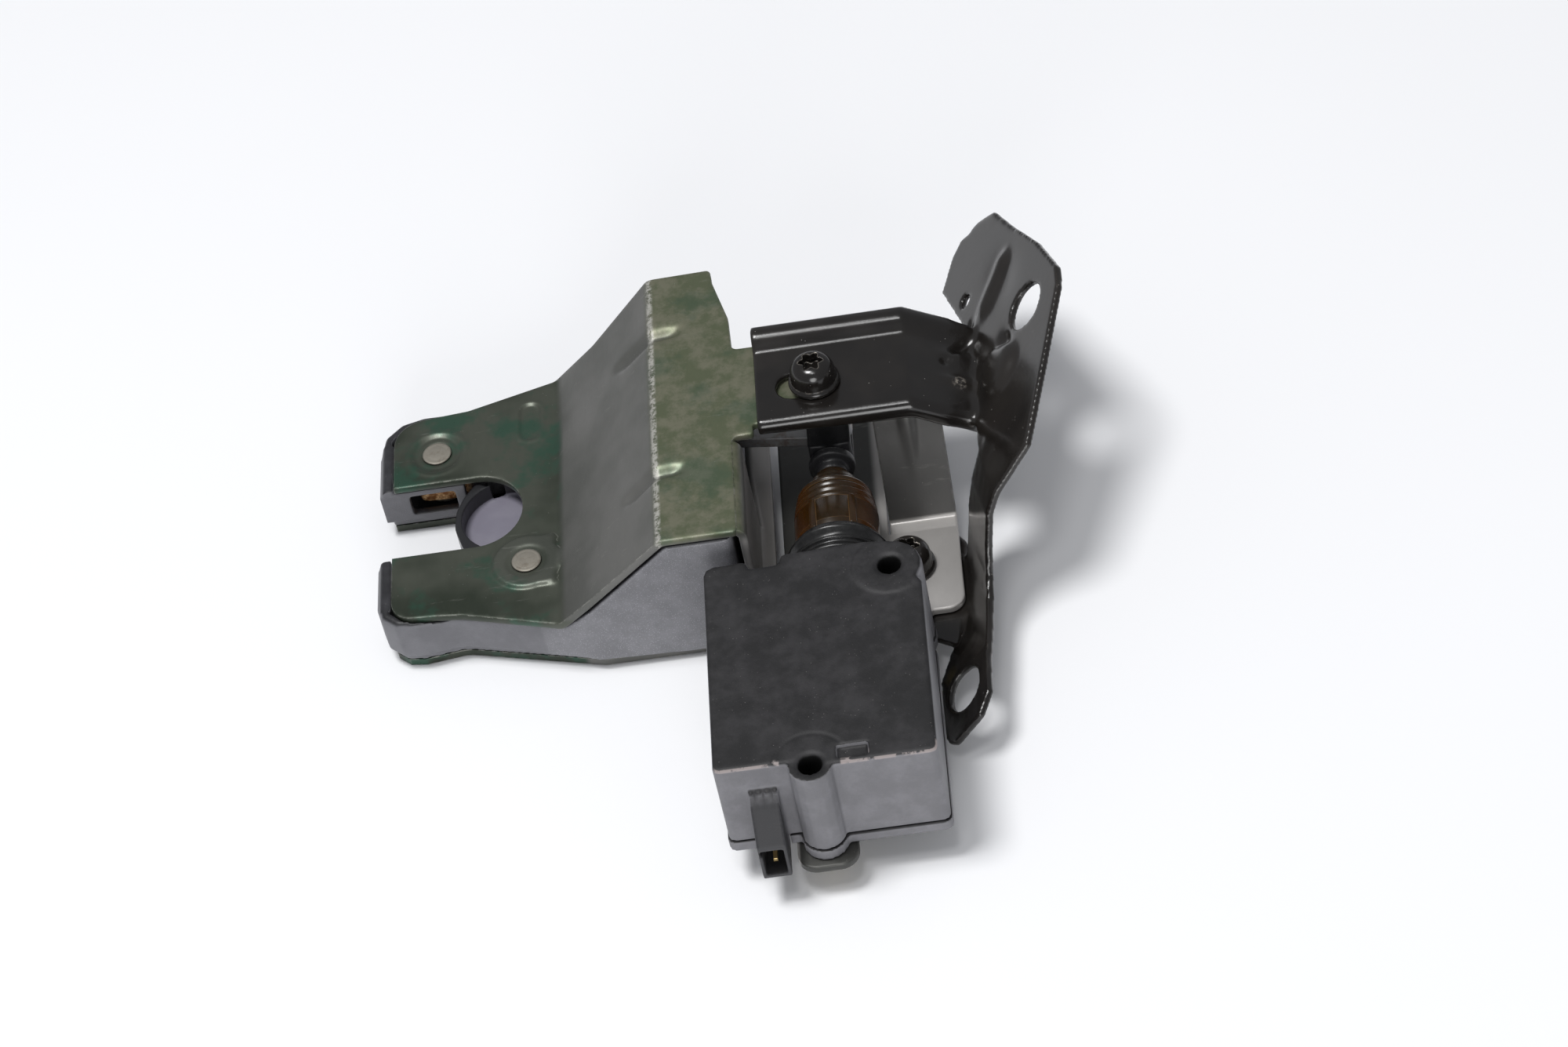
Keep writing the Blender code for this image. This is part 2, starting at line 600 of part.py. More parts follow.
def catch(metal):
    body = prism(catch_outline(), LEVER_BOTTOM, CATCH_TOP, name="claw")
    mouth = rod((*MOUTH_CENTRE, 0), MOUTH_RADIUS, CATCH_WEB_TOP, 30, segments=40)
    way_out = block((-9.5, MOUTH_CENTRE[1] + 5, CATCH_WEB_TOP), (-6.4, SLOT_NORTH + 10, 30))
    cut(body, mouth, way_out, rod((*CATCH, 0), PIVOT_RADIUS + RUN, 0, 30, segments=24))
    hub_room = turned([(0, PAWL_TOP), (30, PAWL_TOP), (30, 30), (0, 30)], (*CATCH, 0), segments=24)
    keep(hub_room, block((-7.5, -12, 0), (12, 9.5, 40)))
    cut(body, hub_room)
    return finish(body, "claw", metal, pivot=(*CATCH, 0))


def pawl(metal):
    """The pawl, drawn clear of the catch's tooth as when the lever holds it back."""
    centre = Vector(PAWL)
    engaged = rounded([(-6.4, -4.7, 2.0), (0.2, -6.3, 3.0), (9.6, -6.8, 2.0), (10.8, -8.7, 0.6),
                       (14.6, -8.7, 0.5), (15.0, -5.3, 1.5), (7.2, 1.3, 5.0), (4.2, 6.7, 4.0),
                       (-0.2, 11.1, 2.2), (-5.4, 10.5, 2.2), (-7.4, 3.3, 5.0)], 3)
    lift = Matrix.Rotation(radians(PAWL_LIFT), 2)
    lifted = [tuple(centre + lift @ Vector(p)) for p in engaged]
    body = prism(lifted, LEVER_BOTTOM, PAWL_TOP, name="pawl")
    cut(body, rod((*PAWL, 0), PIVOT_RADIUS + RUN, 0, 30, segments=24))
    return finish(body, "pawl", metal, pivot=(*PAWL, 0))


def torsion_spring(name, centre, radius, low, turns, first_angle, legs, steel):
    """A flat torsion spring round a pivot; each leg is the point where it ends."""
    steps = int(16 * turns)
    pitch = 2 * SPRING_WIRE + 0.15
    path = [(centre[0] + radius * cos(radians(first_angle) + 2 * pi * i / 16),
             centre[1] + radius * sin(radians(first_angle) + 2 * pi * i / 16),
             low + SPRING_WIRE + pitch * i / 16) for i in range(steps + 1)]
    path = [(*legs[0], path[0][2])] + path + [(*legs[1], path[-1][2])]
    return finish(wire(path, SPRING_WIRE, 6), name, steel)


def lever_bottom():
    return AXIS_Z - LEVER_THICK / 2


def release_lever(steel):
    px, py = LEVER_PIVOT
    reach = AXIS_X - px
    eye = (AXIS_X, YOKE_PIN_Y)
    lean = atan2(eye[1] - py, eye[0] - px)
    along = (cos(lean), sin(lean))
    side = (-along[1], along[0])

    def at(distance, offset):
        return (px + along[0] * distance + side[0] * offset, py + along[1] * distance + side[1] * offset)

    length = hypot(reach, eye[1] - py)
    slack = length - reach + 0.8
    outline = [(*at(0, -7), 6.5), (*at(length - 6, -5.2), 8), (*at(length + 5.4, -5.2), 4.6),
               (*at(length + 5.4, 5.2), 4.6), (*at(length - 6, 5.2), 8), (*at(8, 7), 6), (*at(4, 14), 3.5),
               (*at(-4, 14), 3.5), (*at(-7, 0), 6.5)]
    body = prism(rounded(outline, 4), lever_bottom(), lever_bottom() + LEVER_THICK, name="release_lever")
    slot = [(*at(length - slack - YOKE_PIN_RADIUS, -YOKE_PIN_RADIUS - RUN), 2.4),
            (*at(length + 0.6 + YOKE_PIN_RADIUS, -YOKE_PIN_RADIUS - RUN), 2.4),
            (*at(length + 0.6 + YOKE_PIN_RADIUS, YOKE_PIN_RADIUS + RUN), 2.4),
            (*at(length - slack - YOKE_PIN_RADIUS, YOKE_PIN_RADIUS + RUN), 2.4)]
    cut(body, prism(rounded(slot, 4), 0, 60), rod((*LEVER_PIVOT, 0), LEVER_PIN_RADIUS + 0.1, 0, 60, segments=24),
        rod((*at(0, 10.5), 0), 1.5, 0, 60, segments=16))
    return finish(body, "release_lever", steel, pivot=(px, py, AXIS_Z))


def release_lever_pin(steel):
    top = lever_bottom() + LEVER_THICK + SEAT
    profile = [(0, 12 + SEAT), (LEVER_PIN_RADIUS - 0.25, 12 + SEAT), (LEVER_PIN_RADIUS - 0.25, top), (4.2, top),
               (4.2, top + 1.0), (3.6, top + 1.5), (0, top + 1.5)]
    return finish(turned(profile, (*LEVER_PIVOT, 0), segments=24), "release_lever_pin", steel)


def release_yoke(plastic):
    """The black fork on the plunger's clip that takes the lever between its ears."""
    ear = 3.2
    ear_gap = LEVER_THICK / 2 + RUN
    start = CLIP_END + 1.0
    body = turned([(0, start - 4.6), (2.6, start - 4.6), (2.6, start), (3.6, start), (3.6, start + 2.0),
                   (5.6, start + 2.4), (5.6, start + 4.2), (4.6, start + 5.0), (4.6, start + 7.0), (0, start + 7.0)],
                  (AXIS_X, 0, AXIS_Z), "Y", 24, name="release_yoke")
    half = ear_gap + ear
    west, east = AXIS_X - YOKE_HALF, AXIS_X + YOKE_HALF
    fork = prism(rounded([(west, start + 5.5, 0.8), (east, start + 5.5, 0.8),
                          (east, YOKE_PIN_Y + 4.8, 2.5), (west, YOKE_PIN_Y + 4.8, 2.5)]),
                 AXIS_Z - half, AXIS_Z + half)
    cut(fork, block((AXIS_X - 20, YOKE_PIN_Y - 8.2, AXIS_Z - ear_gap), (AXIS_X + 20, YOKE_PIN_Y + 30, AXIS_Z + ear_gap)))
    join(body, fork, rod((AXIS_X, YOKE_PIN_Y, AXIS_Z), YOKE_PIN_RADIUS, -half + 0.5, half - 0.5, segments=20))
    return finish(body, "release_yoke", plastic, pivot=(AXIS_X, YOKE_PIN_Y, AXIS_Z))


def unit_outline():
    """Plan of the motor unit, with the rear boss as its north-east corner."""
    rear = arc(BOSS_REAR, BOSS_DISC, -35, 90, 6)
    front_x = BOSS_FRONT[0]
    corners = [(UNIT_WEST, UNIT_SOUTH, 1.5), (front_x, UNIT_SOUTH), (front_x, UNIT_SOUTH - UNIT_STEP),
               (UNIT_EAST, UNIT_SOUTH - UNIT_STEP, 1.5), (UNIT_EAST, BOSS_REAR[1] - 6.0)]
    north = [(AXIS_X + 7, UNIT_NORTH + 0.8), (NOTCH_EAST, UNIT_NORTH + 0.3, 1.4),
             (NOTCH_EAST - 0.4, UNIT_NORTH - 2.6, 1.0), (NOTCH_WEST + 0.4, UNIT_NORTH - 2.8, 1.0),
             (NOTCH_WEST, UNIT_NORTH - 0.4, 1.2), (UNIT_WEST, UNIT_NORTH - 0.8, 2.5)]
    return rounded(corners + rear + north, 2)


def actuator_cover(plastic):
    outline = unit_outline()
    rings = [[(*p, UNIT_PARTING + 0.1) for p in outline]]
    for i in range(3):
        lean = i * pi / 4
        inset = UNIT_ROUND * (1 - cos(lean))
        rings.append([(*p, UNIT_TOP - UNIT_ROUND + UNIT_ROUND * sin(lean))
                      for p in grown(outline, -inset, tidy=False)])
    body = loft("actuator_cover", rings)
    cut(body, prism(grown(outline, -UNIT_WALL), UNIT_PARTING - 1, UNIT_TOP - UNIT_WALL))
    for centre in (BOSS_FRONT, BOSS_REAR):
        join(body, rod((*centre, 0), BOSS_RADIUS, UNIT_PARTING + 0.1, UNIT_TOP - 0.2, segments=16))
    join(body, keep(rod((*BOSS_REAR, 0), BOSS_RING, UNIT_TOP - 1.0, UNIT_TOP + 0.3, segments=28),
                    prism(grown(outline, -0.5), UNIT_TOP - 5, UNIT_TOP + 5)))
    connector = [(UNIT_SOUTH + 1.2, CONNECTOR_LOW), (CONNECTOR_END, CONNECTOR_LOW),
                 (CONNECTOR_END, CONNECTOR_HIGH), (UNIT_SOUTH - 1.0, 30.4), (UNIT_SOUTH + 1.2, 30.4)]
    half = CONNECTOR_WIDTH / 2
    shell = prism(connector, CONNECTOR_X - half, CONNECTOR_X + half, "X")
    for step in (-1.9, 0, 1.9):
        groove = [(CONNECTOR_END - 2, CONNECTOR_HIGH - 0.5), (UNIT_SOUTH - 0.5, 30.2),
                  (UNIT_SOUTH - 0.5, 33.0), (CONNECTOR_END - 2, 33.0)]
        cut(shell, prism(groove, CONNECTOR_X + step - 0.45, CONNECTOR_X + step + 0.45, "X"))
    socket = block((CONNECTOR_X - half + 0.9, CONNECTOR_END - 1, CONNECTOR_LOW + 0.9),
                   (CONNECTOR_X + half - 0.9, CONNECTOR_END + 7.6, CONNECTOR_HIGH - 1.4))
    key = block((CONNECTOR_X - half + 0.4, CONNECTOR_END - 1, CONNECTOR_HIGH - 3.4),
                (CONNECTOR_X - half + 1.0, CONNECTOR_END + 5, CONNECTOR_HIGH - 1.4))
    cut(shell, socket, key)
    join(body, shell)
    for height in connector_pin_heights():
        room = PIN_HALF + 0.1
        cut(body, block((CONNECTOR_X - room, CONNECTOR_END, height - room),
                        (CONNECTOR_X + room, UNIT_SOUTH + 4, height + room)))
    tool_slot = block((72.5, UNIT_SOUTH - UNIT_STEP + 1.6, UNIT_TOP - 1.2), (79.6, UNIT_SOUTH - UNIT_STEP + 5.2, 60))
    cut(body, tool_slot, rod((AXIS_X, 0, AXIS_Z), PLUNGER_RADIUS + RUN, UNIT_NORTH - 4, UNIT_NORTH + 5, "Y", 24))
    for centre in (BOSS_FRONT, BOSS_REAR):
        cut(body, rod((*centre, 0), BOSS_HOLE, 0, 60, segments=16))
    return finish(body, "actuator_cover", plastic)


def connector_pin_heights():
    middle = (CONNECTOR_LOW + CONNECTOR_HIGH) / 2
    return (middle - 2.3, middle + 1.9)


def actuator_base(plastic):
    outline = unit_outline()
    low = FLOOR_TOP + SEAT
    body = prism(grown(outline, 0.35), low, UNIT_PARTING - 0.2, name="actuator_base")
    cut(body, prism(grown(outline, -UNIT_WALL), low + UNIT_WALL, 30))
    join(body, rod((*BOSS_FRONT, 0), BOSS_RADIUS + 0.3, low, UNIT_PARTING - 0.2, segments=16),
         rod((*BOSS_REAR, 0), BOSS_RADIUS + 0.3, low, UNIT_PARTING - 0.2, segments=16))
    motor_x = motor_centre_x()
    for y in (GEAR_Y - 10.0, GEAR_Y - 28.0):
        join(body, block((motor_x - 6, y - 1, low + 1), (motor_x + 6, y + 1, AXIS_Z - MOTOR_FLAT - SEAT)))
    rib_y = GEAR_Y - GEAR_WIDTH / 2 - SEAT
    rib = block((AXIS_X - 4.2, rib_y - 1.6, low + 1), (AXIS_X + 4.2, rib_y, AXIS_Z + 4.0))
    cut(rib, rod((AXIS_X, 0, AXIS_Z), SPINDLE_RADIUS - 0.4 + RUN, rib_y - 5, rib_y + 5, "Y", 20))
    join(body, rib)
    clear = block((CONNECTOR_X - CONNECTOR_WIDTH / 2 - 0.3, UNIT_SOUTH - 5, 0),
                  (CONNECTOR_X + CONNECTOR_WIDTH / 2 + 0.3, UNIT_SOUTH + 4.0, 30))
    cut(body, clear)
    for centre in (BOSS_FRONT, BOSS_REAR):
        cut(body, rod((*centre, 0), BOSS_HOLE, 0, 60, segments=16))
    return finish(body, "actuator_base", plastic)


def motor_centre_x():
    return AXIS_X - (GEAR_TEETH + PINION_TEETH) * GEAR_MODULE / 2


def actuator_motor(steel):
    x = motor_centre_x()
    front = GEAR_Y - GEAR_WIDTH / 2 - MOTOR_NOSE
    body = rod((x, 0, AXIS_Z), MOTOR_RADIUS, front - MOTOR_LENGTH, front, "Y", 24, name="actuator_motor")
    keep(body, block((x - 30, front - 60, AXIS_Z - MOTOR_FLAT), (x + 30, front + 10, AXIS_Z + MOTOR_FLAT)))
    join(body, rod((x, 0, AXIS_Z), 3.0, front - 1, front + 1.0, "Y", 20),
         rod((x, 0, AXIS_Z), 1.0, front - 1, GEAR_Y + GEAR_WIDTH / 2 + 1.2, "Y", 16))
    return finish(body, "actuator_motor", steel)


def motor_pinion(brass):
    x = motor_centre_x()
    teeth = [(px, pz) for px, pz in toothed(PINION_TEETH, GEAR_MODULE)]
    turn = Matrix.Rotation(pi / PINION_TEETH, 2)
    outline = [(x + (turn @ Vector(p)).x, AXIS_Z + (turn @ Vector(p)).y) for p in teeth]
    body = prism(outline, GEAR_Y - GEAR_WIDTH / 2 - 0.6, GEAR_Y + GEAR_WIDTH / 2 + 0.6, "Y", name="motor_pinion")
    cut(body, rod((x, 0, AXIS_Z), 1.1, -90, 0, "Y", 16))
    return finish(body, "motor_pinion", brass, pivot=(x, GEAR_Y, AXIS_Z))


def spindle_gear(plastic):
    outline = [(AXIS_X + px, AXIS_Z + pz) for px, pz in toothed(GEAR_TEETH, GEAR_MODULE)]
    low = GEAR_Y - GEAR_WIDTH / 2
    body = prism(outline, low, low + GEAR_WIDTH, "Y", name="spindle_gear")
    join(body, rod((AXIS_X, 0, AXIS_Z), SPINDLE_RADIUS - 0.4, low - 3.0, low + 1, "Y", 20),
         rod((AXIS_X, 0, AXIS_Z), SPINDLE_RADIUS, low + 1, -25.0, "Y", 20))
    return finish(body, "spindle_gear", plastic, pivot=(AXIS_X, GEAR_Y, AXIS_Z))


def plunger(plastic):
    start = GEAR_Y + GEAR_WIDTH / 2 + 4.0
    neck = CLIP_START + 1.5
    end = -1.0
    profile = [(0, -23.5), (PLUNGER_BORE, -23.5), (PLUNGER_BORE, start), (PLUNGER_RADIUS, start),
               (PLUNGER_RADIUS, neck), (3.0, neck), (3.0, end - 1.5), (2.4, end), (0, end)]
    body = turned(profile, (AXIS_X, 0, AXIS_Z), "Y", 24, name="plunger")
    return finish(body, "plunger", plastic, pivot=(AXIS_X, UNIT_NORTH, AXIS_Z))


def rod_clip(plastic):
    steps = []
    for i in range(3):
        step_y = -5.1 + 3.0 * i
        radius = CLIP_RADIUS - 1.1 - 0.95 * i
        steps += [(radius + 0.3, step_y), (radius + 0.2, step_y + 1.0), (radius - 0.3, step_y + 1.4)]
    profile = [(0, -0.6), (3.0 + SEAT, -0.6), (3.0 + SEAT, -4.0), (CLIP_RADIUS - 1.6, -6.6),
               (CLIP_RADIUS - 1.6, CLIP_START), (CLIP_RADIUS, CLIP_START), (CLIP_RADIUS, -6.0)]
    profile += steps + [(6.1, 3.8), (4.8, 5.2), (4.5, CLIP_END), (2.6 + SEAT, CLIP_END),
                        (2.6 + SEAT, CLIP_END - 4.2), (0, CLIP_END - 4.2)]
    body = turned(profile, (AXIS_X, 0, AXIS_Z), "Y", 20, name="rod_clip")
    for angle in (62, 118):
        bx = AXIS_X + (CLIP_RADIUS - 0.2) * cos(radians(angle))
        bz = AXIS_Z + (CLIP_RADIUS - 0.2) * sin(radians(angle))
        join(body, rod((bx, 0, bz), 0.8, CLIP_START + 1.0, CLIP_START + 9.6, "Y", 6))
    return finish(body, "rod_clip", plastic, pivot=(AXIS_X, UNIT_NORTH, AXIS_Z))


def rubber_boot(rubber):
    start = UNIT_NORTH + 0.8 + SEAT
    end = CLIP_START - SEAT
    ridge = (end - start) / 2
    outer = []
    for i in range(2):
        radius = BOOT_RADIUS - 0.3 * i
        base = start + ridge * i
        outer += [(radius - 1.6, base), (radius - 0.2, base + ridge * 0.2), (radius, base + ridge * 0.5),
                  (radius - 0.4, base + ridge * 0.8)]
    outer.append((BOOT_RADIUS - 2.0, end))
    inner = [(BOOT_RADIUS - 3.4, end), (BOOT_RADIUS - 3.4, start)]
    body = turned(outer + inner, (AXIS_X, 0, AXIS_Z), "Y", 20, closed=True, name="rubber_boot")
    return finish(body, "rubber_boot", rubber)


def connector_pin(name, height, brass):
    body = block((CONNECTOR_X - PIN_HALF, CONNECTOR_END + 2.6, height - PIN_HALF),
                 (CONNECTOR_X + PIN_HALF, UNIT_SOUTH + 3.4, height + PIN_HALF), name=name)
    return finish(body, name, brass)


def unit_screw(name, centre, steel):
    """A domed screw that comes up through the shelf into a boss of the motor unit."""
    under = FLOOR_TOP - SHEET - SEAT
    profile = [(0, under - 2.4), (2.6, under - 2.2), (4.0, under - 1.2), (4.3, under), (BOSS_HOLE - RUN, under),
               (BOSS_HOLE - RUN, 30.0), (1.4, 32.0), (0, 32.0)]
    return finish(turned(profile, (*centre, 0), segments=20), name, steel)


def plate_screw(name, centre, seat, end, steel):
    """A pan-head screw with a flange and a six-lobe recess."""
    top = seat + SCREW_HEAD_HEIGHT
    profile = [(0, end), (SCREW_RADIUS - 0.6, end), (SCREW_RADIUS, end + 0.8), (SCREW_RADIUS, seat),
               (SCREW_HEAD, seat), (SCREW_HEAD, seat + 1.1), (SCREW_HEAD - 0.5, seat + 1.6),
               (SCREW_HEAD - 0.6, top - 2.6), (SCREW_HEAD - 1.3, top - 1.0), (SCREW_HEAD - 2.7, top), (0, top)]
    body = turned(profile, (*centre, 0), segments=20)
    recess = [(centre[0] + x, centre[1] + y) for x, y in lobed(RECESS_RADIUS, RECESS_RADIUS * 0.15, 6, 4)]
    cut(body, prism(recess, top - RECESS_DEPTH, top + 2))
    return finish(body, name, steel)


def weld_nut(name, centre, top, steel):
    corner = NUT_ACROSS / sqrt(3)
    outline = [(centre[0] + corner * cos(radians(60 * i)), centre[1] + corner * sin(radians(60 * i)))
               for i in range(6)]
    body = prism(outline, top - NUT_HEIGHT, top, name=name)
    cut(body, rod((*centre, 0), SCREW_RADIUS + RUN, -20, 60, segments=20))
    return finish(body, name, steel)


# Bracket

def upper_flange(s, y):
    """A point of the upper flange: s up its slope from the valley."""
    tilt = radians(FLANGE_TILT)
    return Vector((VALLEY_X + s * cos(tilt), y, VALLEY_Z + s * sin(tilt) - FLANGE_LEAN * (y - 18)))


def lower_flange(s, y):
    """A point of the lower flange: s up its slope from the fold where it leaves the lower arm."""
    tilt = radians(FOOT_TILT)
    fold = FOLD_X + FOLD_LEAN * y
    return Vector((fold + s * cos(tilt), y, LOWER_ARM_TOP - BRACKET_SHEET / 2 + s * sin(tilt)))


def bracket_stations():
    """Pairs of points across the flange, from its north end past the neck to its lower tip."""
    up, low = upper_flange, lower_flange
    end = [(up(8.5, 73.2), up(15.0, 70.7)), (up(0.6, 72.4), up(22.0, 57.5)), (up(-2.7, 70.3), up(29.5, 44.7)),
           (up(-8.2, 62.3), up(35.4, 30.4))]
    middle = [(up(-1.2, 43.0), up(35.0, 23.8)), (up(-1.0, 20.0), up(26.6, 5.5)), (up(-1.0, 8.0), up(17.0, -14.2))]
    neck = [((111.2, 0.0, 33.0), (113.8, -18.8, 37.6)), ((108.8, -1.0, 26.0), (111.6, -20.5, 33.0)),
            ((107.0, -2.5, 18.5), (110.4, -23.4, 26.0)), ((105.6, -4.5, 11.0), (109.5, -27.0, 19.2)),
            (low(-0.3, -12.0), (109.1, -31.5, 16.6))]
    foot_z = LOWER_ARM_TOP - BRACKET_SHEET / 2
    tip = [(low(-0.3, -22.0), (108.5, -39.0, 16.5)), ((102.4, -30.7, foot_z), (107.9, -45.0, 16.6)),
           ((98.4, -37.8, foot_z - 1.1), (107.4, -49.0, 16.6)), ((95.4, -45.4, foot_z - 2.2), (107.1, -53.0, 16.7)),
           ((95.4, -54.0, foot_z - 2.6), (106.8, -59.3, 16.4)), ((95.4, -61.2, foot_z - 2.6), (104.0, -64.2, 13.8)),
           ((95.9, -63.6, foot_z - 2.2), (97.4, -65.2, foot_z - 0.6))]
    return [(Vector(left), Vector(right)) for left, right in end + middle + neck + tip]


def flange_sheet(steps_across=4):
    bm = bmesh.new()
    stations = bracket_stations()
    rows = []
    for left, right in stations:
        rows.append([bm.verts.new(left.lerp(right, i / steps_across)) for i in range(steps_across + 1)])
    for near, far in zip(rows, rows[1:]):
        for i in range(steps_across):
            bm.faces.new((near[i], far[i], far[i + 1], near[i + 1]))
    sheet = solid("flange", bm)
    thick = sheet.modifiers.new("thickness", "SOLIDIFY")
    thick.thickness = BRACKET_SHEET * MM
    thick.offset = 0.0
    thick.use_even_offset = True
    use_modifiers(sheet)
    bm = bmesh.new()
    bm.from_mesh(sheet.data)
    bmesh.ops.triangulate(bm, faces=bm.faces)
    bm.to_mesh(sheet.data)
    bm.free()
    return sheet


def bracket_arm():
    middle = HIGH_TOP + SEAT + BRACKET_SHEET / 2
    rings = []
    end_x = VALLEY_X + 0.6
    for x in (ARM_WEST, ARM_BEND_X - 2, ARM_BEND_X, ARM_BEND_X + 2, end_x):
        drop = max(x - ARM_BEND_X, 0) * tan(radians(ARM_SLOPE))
        past = max(x - ARM_BEND_X, 0) / (end_x - ARM_BEND_X)
        fade = 1 - 0.2 * past
        turn = 1 + 0.3 * past - 0.35 * max(ARM_BEND_X - x, 0) / (ARM_BEND_X - ARM_WEST)
        path = [(ARM_SOUTH, middle - SOUTH_LIP * turn), (ARM_SOUTH, middle, 1.6), (ARM_CREASE, middle, 2.0),
                (ARM_CREASE + LIP_WIDTH / 2, middle + LIP_RISE * fade, 2.2),
                (ARM_CREASE + LIP_WIDTH, middle + (LIP_RISE - 0.8) * fade)]
        rings.append([(x, y, z - drop) for y, z in folded(path, BRACKET_SHEET)])
    return loft("arm", rings)


def flange_plane():
    """Section of everything behind the middle of the upper flange, where it is highest."""
    low, high = upper_flange(-30, 62), upper_flange(60, 62)
    return [(low.x, low.z), (high.x, low.z), (high.x, high.z)]


def flange_swage(points, radius, proud):
    """A rounded rib pressed into the upper flange, its ends sunk in the sheet."""
    up = Vector((-sin(radians(FLANGE_TILT)), 0, cos(radians(FLANGE_TILT))))
    path = [upper_flange(s, y) + up * (proud - radius) for s, y in points]
    path[0] -= up * proud
    path[-1] -= up * proud
    return wire(path, radius, 12)


def mounting_bracket(steel):
    body = bracket_arm()
    low = LOWER_ARM_TOP - BRACKET_SHEET
    lower_arm = rounded([(80.0, -24.0, 3.0), (93.9, -25.5, 2.0), (93.9, -33.0, 2.0), (99.6, -36.4), (102.6, -31.4),
                         (FOLD_X - 24.0 * FOLD_LEAN, -24.0), (FOLD_X - 12.0 * FOLD_LEAN, -12.0), (FOLD_X, -4.0, 1.0),
                         (FOLD_X - 3.0, 0.0, 2.0), (80.0, 0.0, 3.0)])
    up_normal = (-sin(radians(FLANGE_TILT)), 0, cos(radians(FLANGE_TILT)))
    swell = turned([(0, 0), (BULGE_RADIUS, 0), (BULGE_RADIUS - 0.6, 1.6), (BULGE_RADIUS - 2.6, 2.9), (0, 3.5)],
                   upper_flange(10.5, 17.0), up_normal, 16)
    ridge = flange_swage([(19.5, 54.5), (16.0, 50.0), (8.0, 41.5), (1.5, 37.5)], RIDGE_RADIUS, RIDGE_HEIGHT)
    under_ridge = prism([(x, z - 0.2) for x, z in flange_plane()], -60, 90, "Y")
    cut(ridge, under_ridge)
    join(body, flange_sheet(), prism(lower_arm, low, LOWER_ARM_TOP), swell, ridge)
    slot_west, slot_east = UPPER_SCREW[0] - 9.3, UPPER_SCREW[0] + 4.2
    slot_south, slot_north = UPPER_SCREW[1] - SLOT_HALF, UPPER_SCREW[1] + SLOT_HALF
    slot = rounded([(slot_west, slot_south, 3.9), (slot_east, slot_south, 3.9),
                    (slot_east, slot_north, 3.9), (slot_west, slot_north, 3.9)])
    cut(body, prism(slot, HIGH_TOP - 1, HIGH_TOP + 8), rod((*LOWER_SCREW, 0), SCREW_RADIUS + RUN, 0, 14, segments=24))
    low_normal = (-sin(radians(FOOT_SLOPE)), 0, cos(radians(FOOT_SLOPE)))
    cut(body, rod(upper_flange(22.5, 28.4), FIXING_RADIUS, -6, 6, up_normal, 24),
        rod(upper_flange(0.5, 51.0), 1.8, -6, 6, up_normal, 16),
        rod((100.9, -52.6, 10.4), FIXING_RADIUS - 0.4, -5, 5, low_normal, 24))
    return finish(body, "mounting_bracket", steel)


def build():
    clear_scene()
    green = material("chromated_steel", (0.075, 0.085, 0.055), 0.35, 0.9)
    black_steel = material("black_steel", (0.02, 0.018, 0.017), 0.22, 0.6)
    rivet_steel = material("rivet_steel", (0.42, 0.39, 0.34), 0.5, 0.8)
    spring_steel = material("spring_steel", (0.3, 0.3, 0.3), 0.35, 1.0)
    zinc = material("yellow_zinc", (0.55, 0.45, 0.25), 0.4, 0.9)
    plastic = material("black_plastic", (0.03, 0.03, 0.033), 0.5, 0.0)
    cover_plastic = material("cover_plastic", (0.035, 0.035, 0.038), 0.6, 0.0)
    grease = material("greased_steel", (0.32, 0.17, 0.07), 0.45, 0.5)
    jacket = material("catch_jacket", (0.14, 0.135, 0.16), 0.45, 0.0)
    amber = material("amber_plastic", (0.16, 0.065, 0.02), 0.3, 0.0)
    rubber = material("boot_rubber", (0.015, 0.015, 0.015), 0.55, 0.0)
    brass = material("brass", (0.72, 0.52, 0.22), 0.3, 1.0)
    white = material("gear_plastic", (0.75, 0.74, 0.7), 0.45, 0.0)

    lock_plate(green)
    lock_housing(plastic)
    bottom_plate(green)
    pivot_rivet("claw_rivet", CATCH, LOW_TOP + PAD_HEIGHT + RIVET_PROUD, rivet_steel)
    pivot_rivet("pawl_rivet", PAWL, LOW_TOP - DIMPLE_DEPTH + RIVET_PROUD, rivet_steel)
    catch(jacket)
    pawl(grease)
    torsion_spring("claw_spring", CATCH, 7.0, HOUSING_FLOOR + 0.1, 1.25, 200,
                   ((0.0, -14.5), (9.5, 2.0)), spring_steel)
    torsion_spring("pawl_spring", PAWL, 7.0, PAWL_TOP + 0.3, 1.25, 120,
                   ((PAWL[0] - 7.8, PAWL[1] + 9.3), (PAWL[0] + 0.7, PAWL[1] - 6.3)), spring_steel)
    release_lever(spring_steel)
    release_lever_pin(rivet_steel)
    release_yoke(plastic)
    actuator_cover(cover_plastic)
    actuator_base(cover_plastic)
    actuator_motor(spring_steel)
    motor_pinion(brass)
    spindle_gear(white)
    plunger(white)
    rod_clip(amber)
    rubber_boot(rubber)
    for name, height in zip(("connector_pin_low", "connector_pin_high"), connector_pin_heights()):
        connector_pin(name, height, brass)
    unit_screw("unit_screw_front", BOSS_FRONT, zinc)
    unit_screw("unit_screw_rear", BOSS_REAR, zinc)
    mounting_bracket(black_steel)
    arm_top = HIGH_TOP + SEAT + BRACKET_SHEET
    plate_screw("bracket_screw_upper", UPPER_SCREW, arm_top + SEAT, 32.0, black_steel)
    plate_screw("bracket_screw_lower", LOWER_SCREW, FLOOR_TOP + SEAT, 1.0, black_steel)
    weld_nut("weld_nut_upper", UPPER_SCREW, HIGH_TOP - SHEET - SEAT, spring_steel)
    weld_nut("weld_nut_lower", LOWER_SCREW, LOWER_ARM_TOP - BRACKET_SHEET - SEAT, spring_steel)


build()
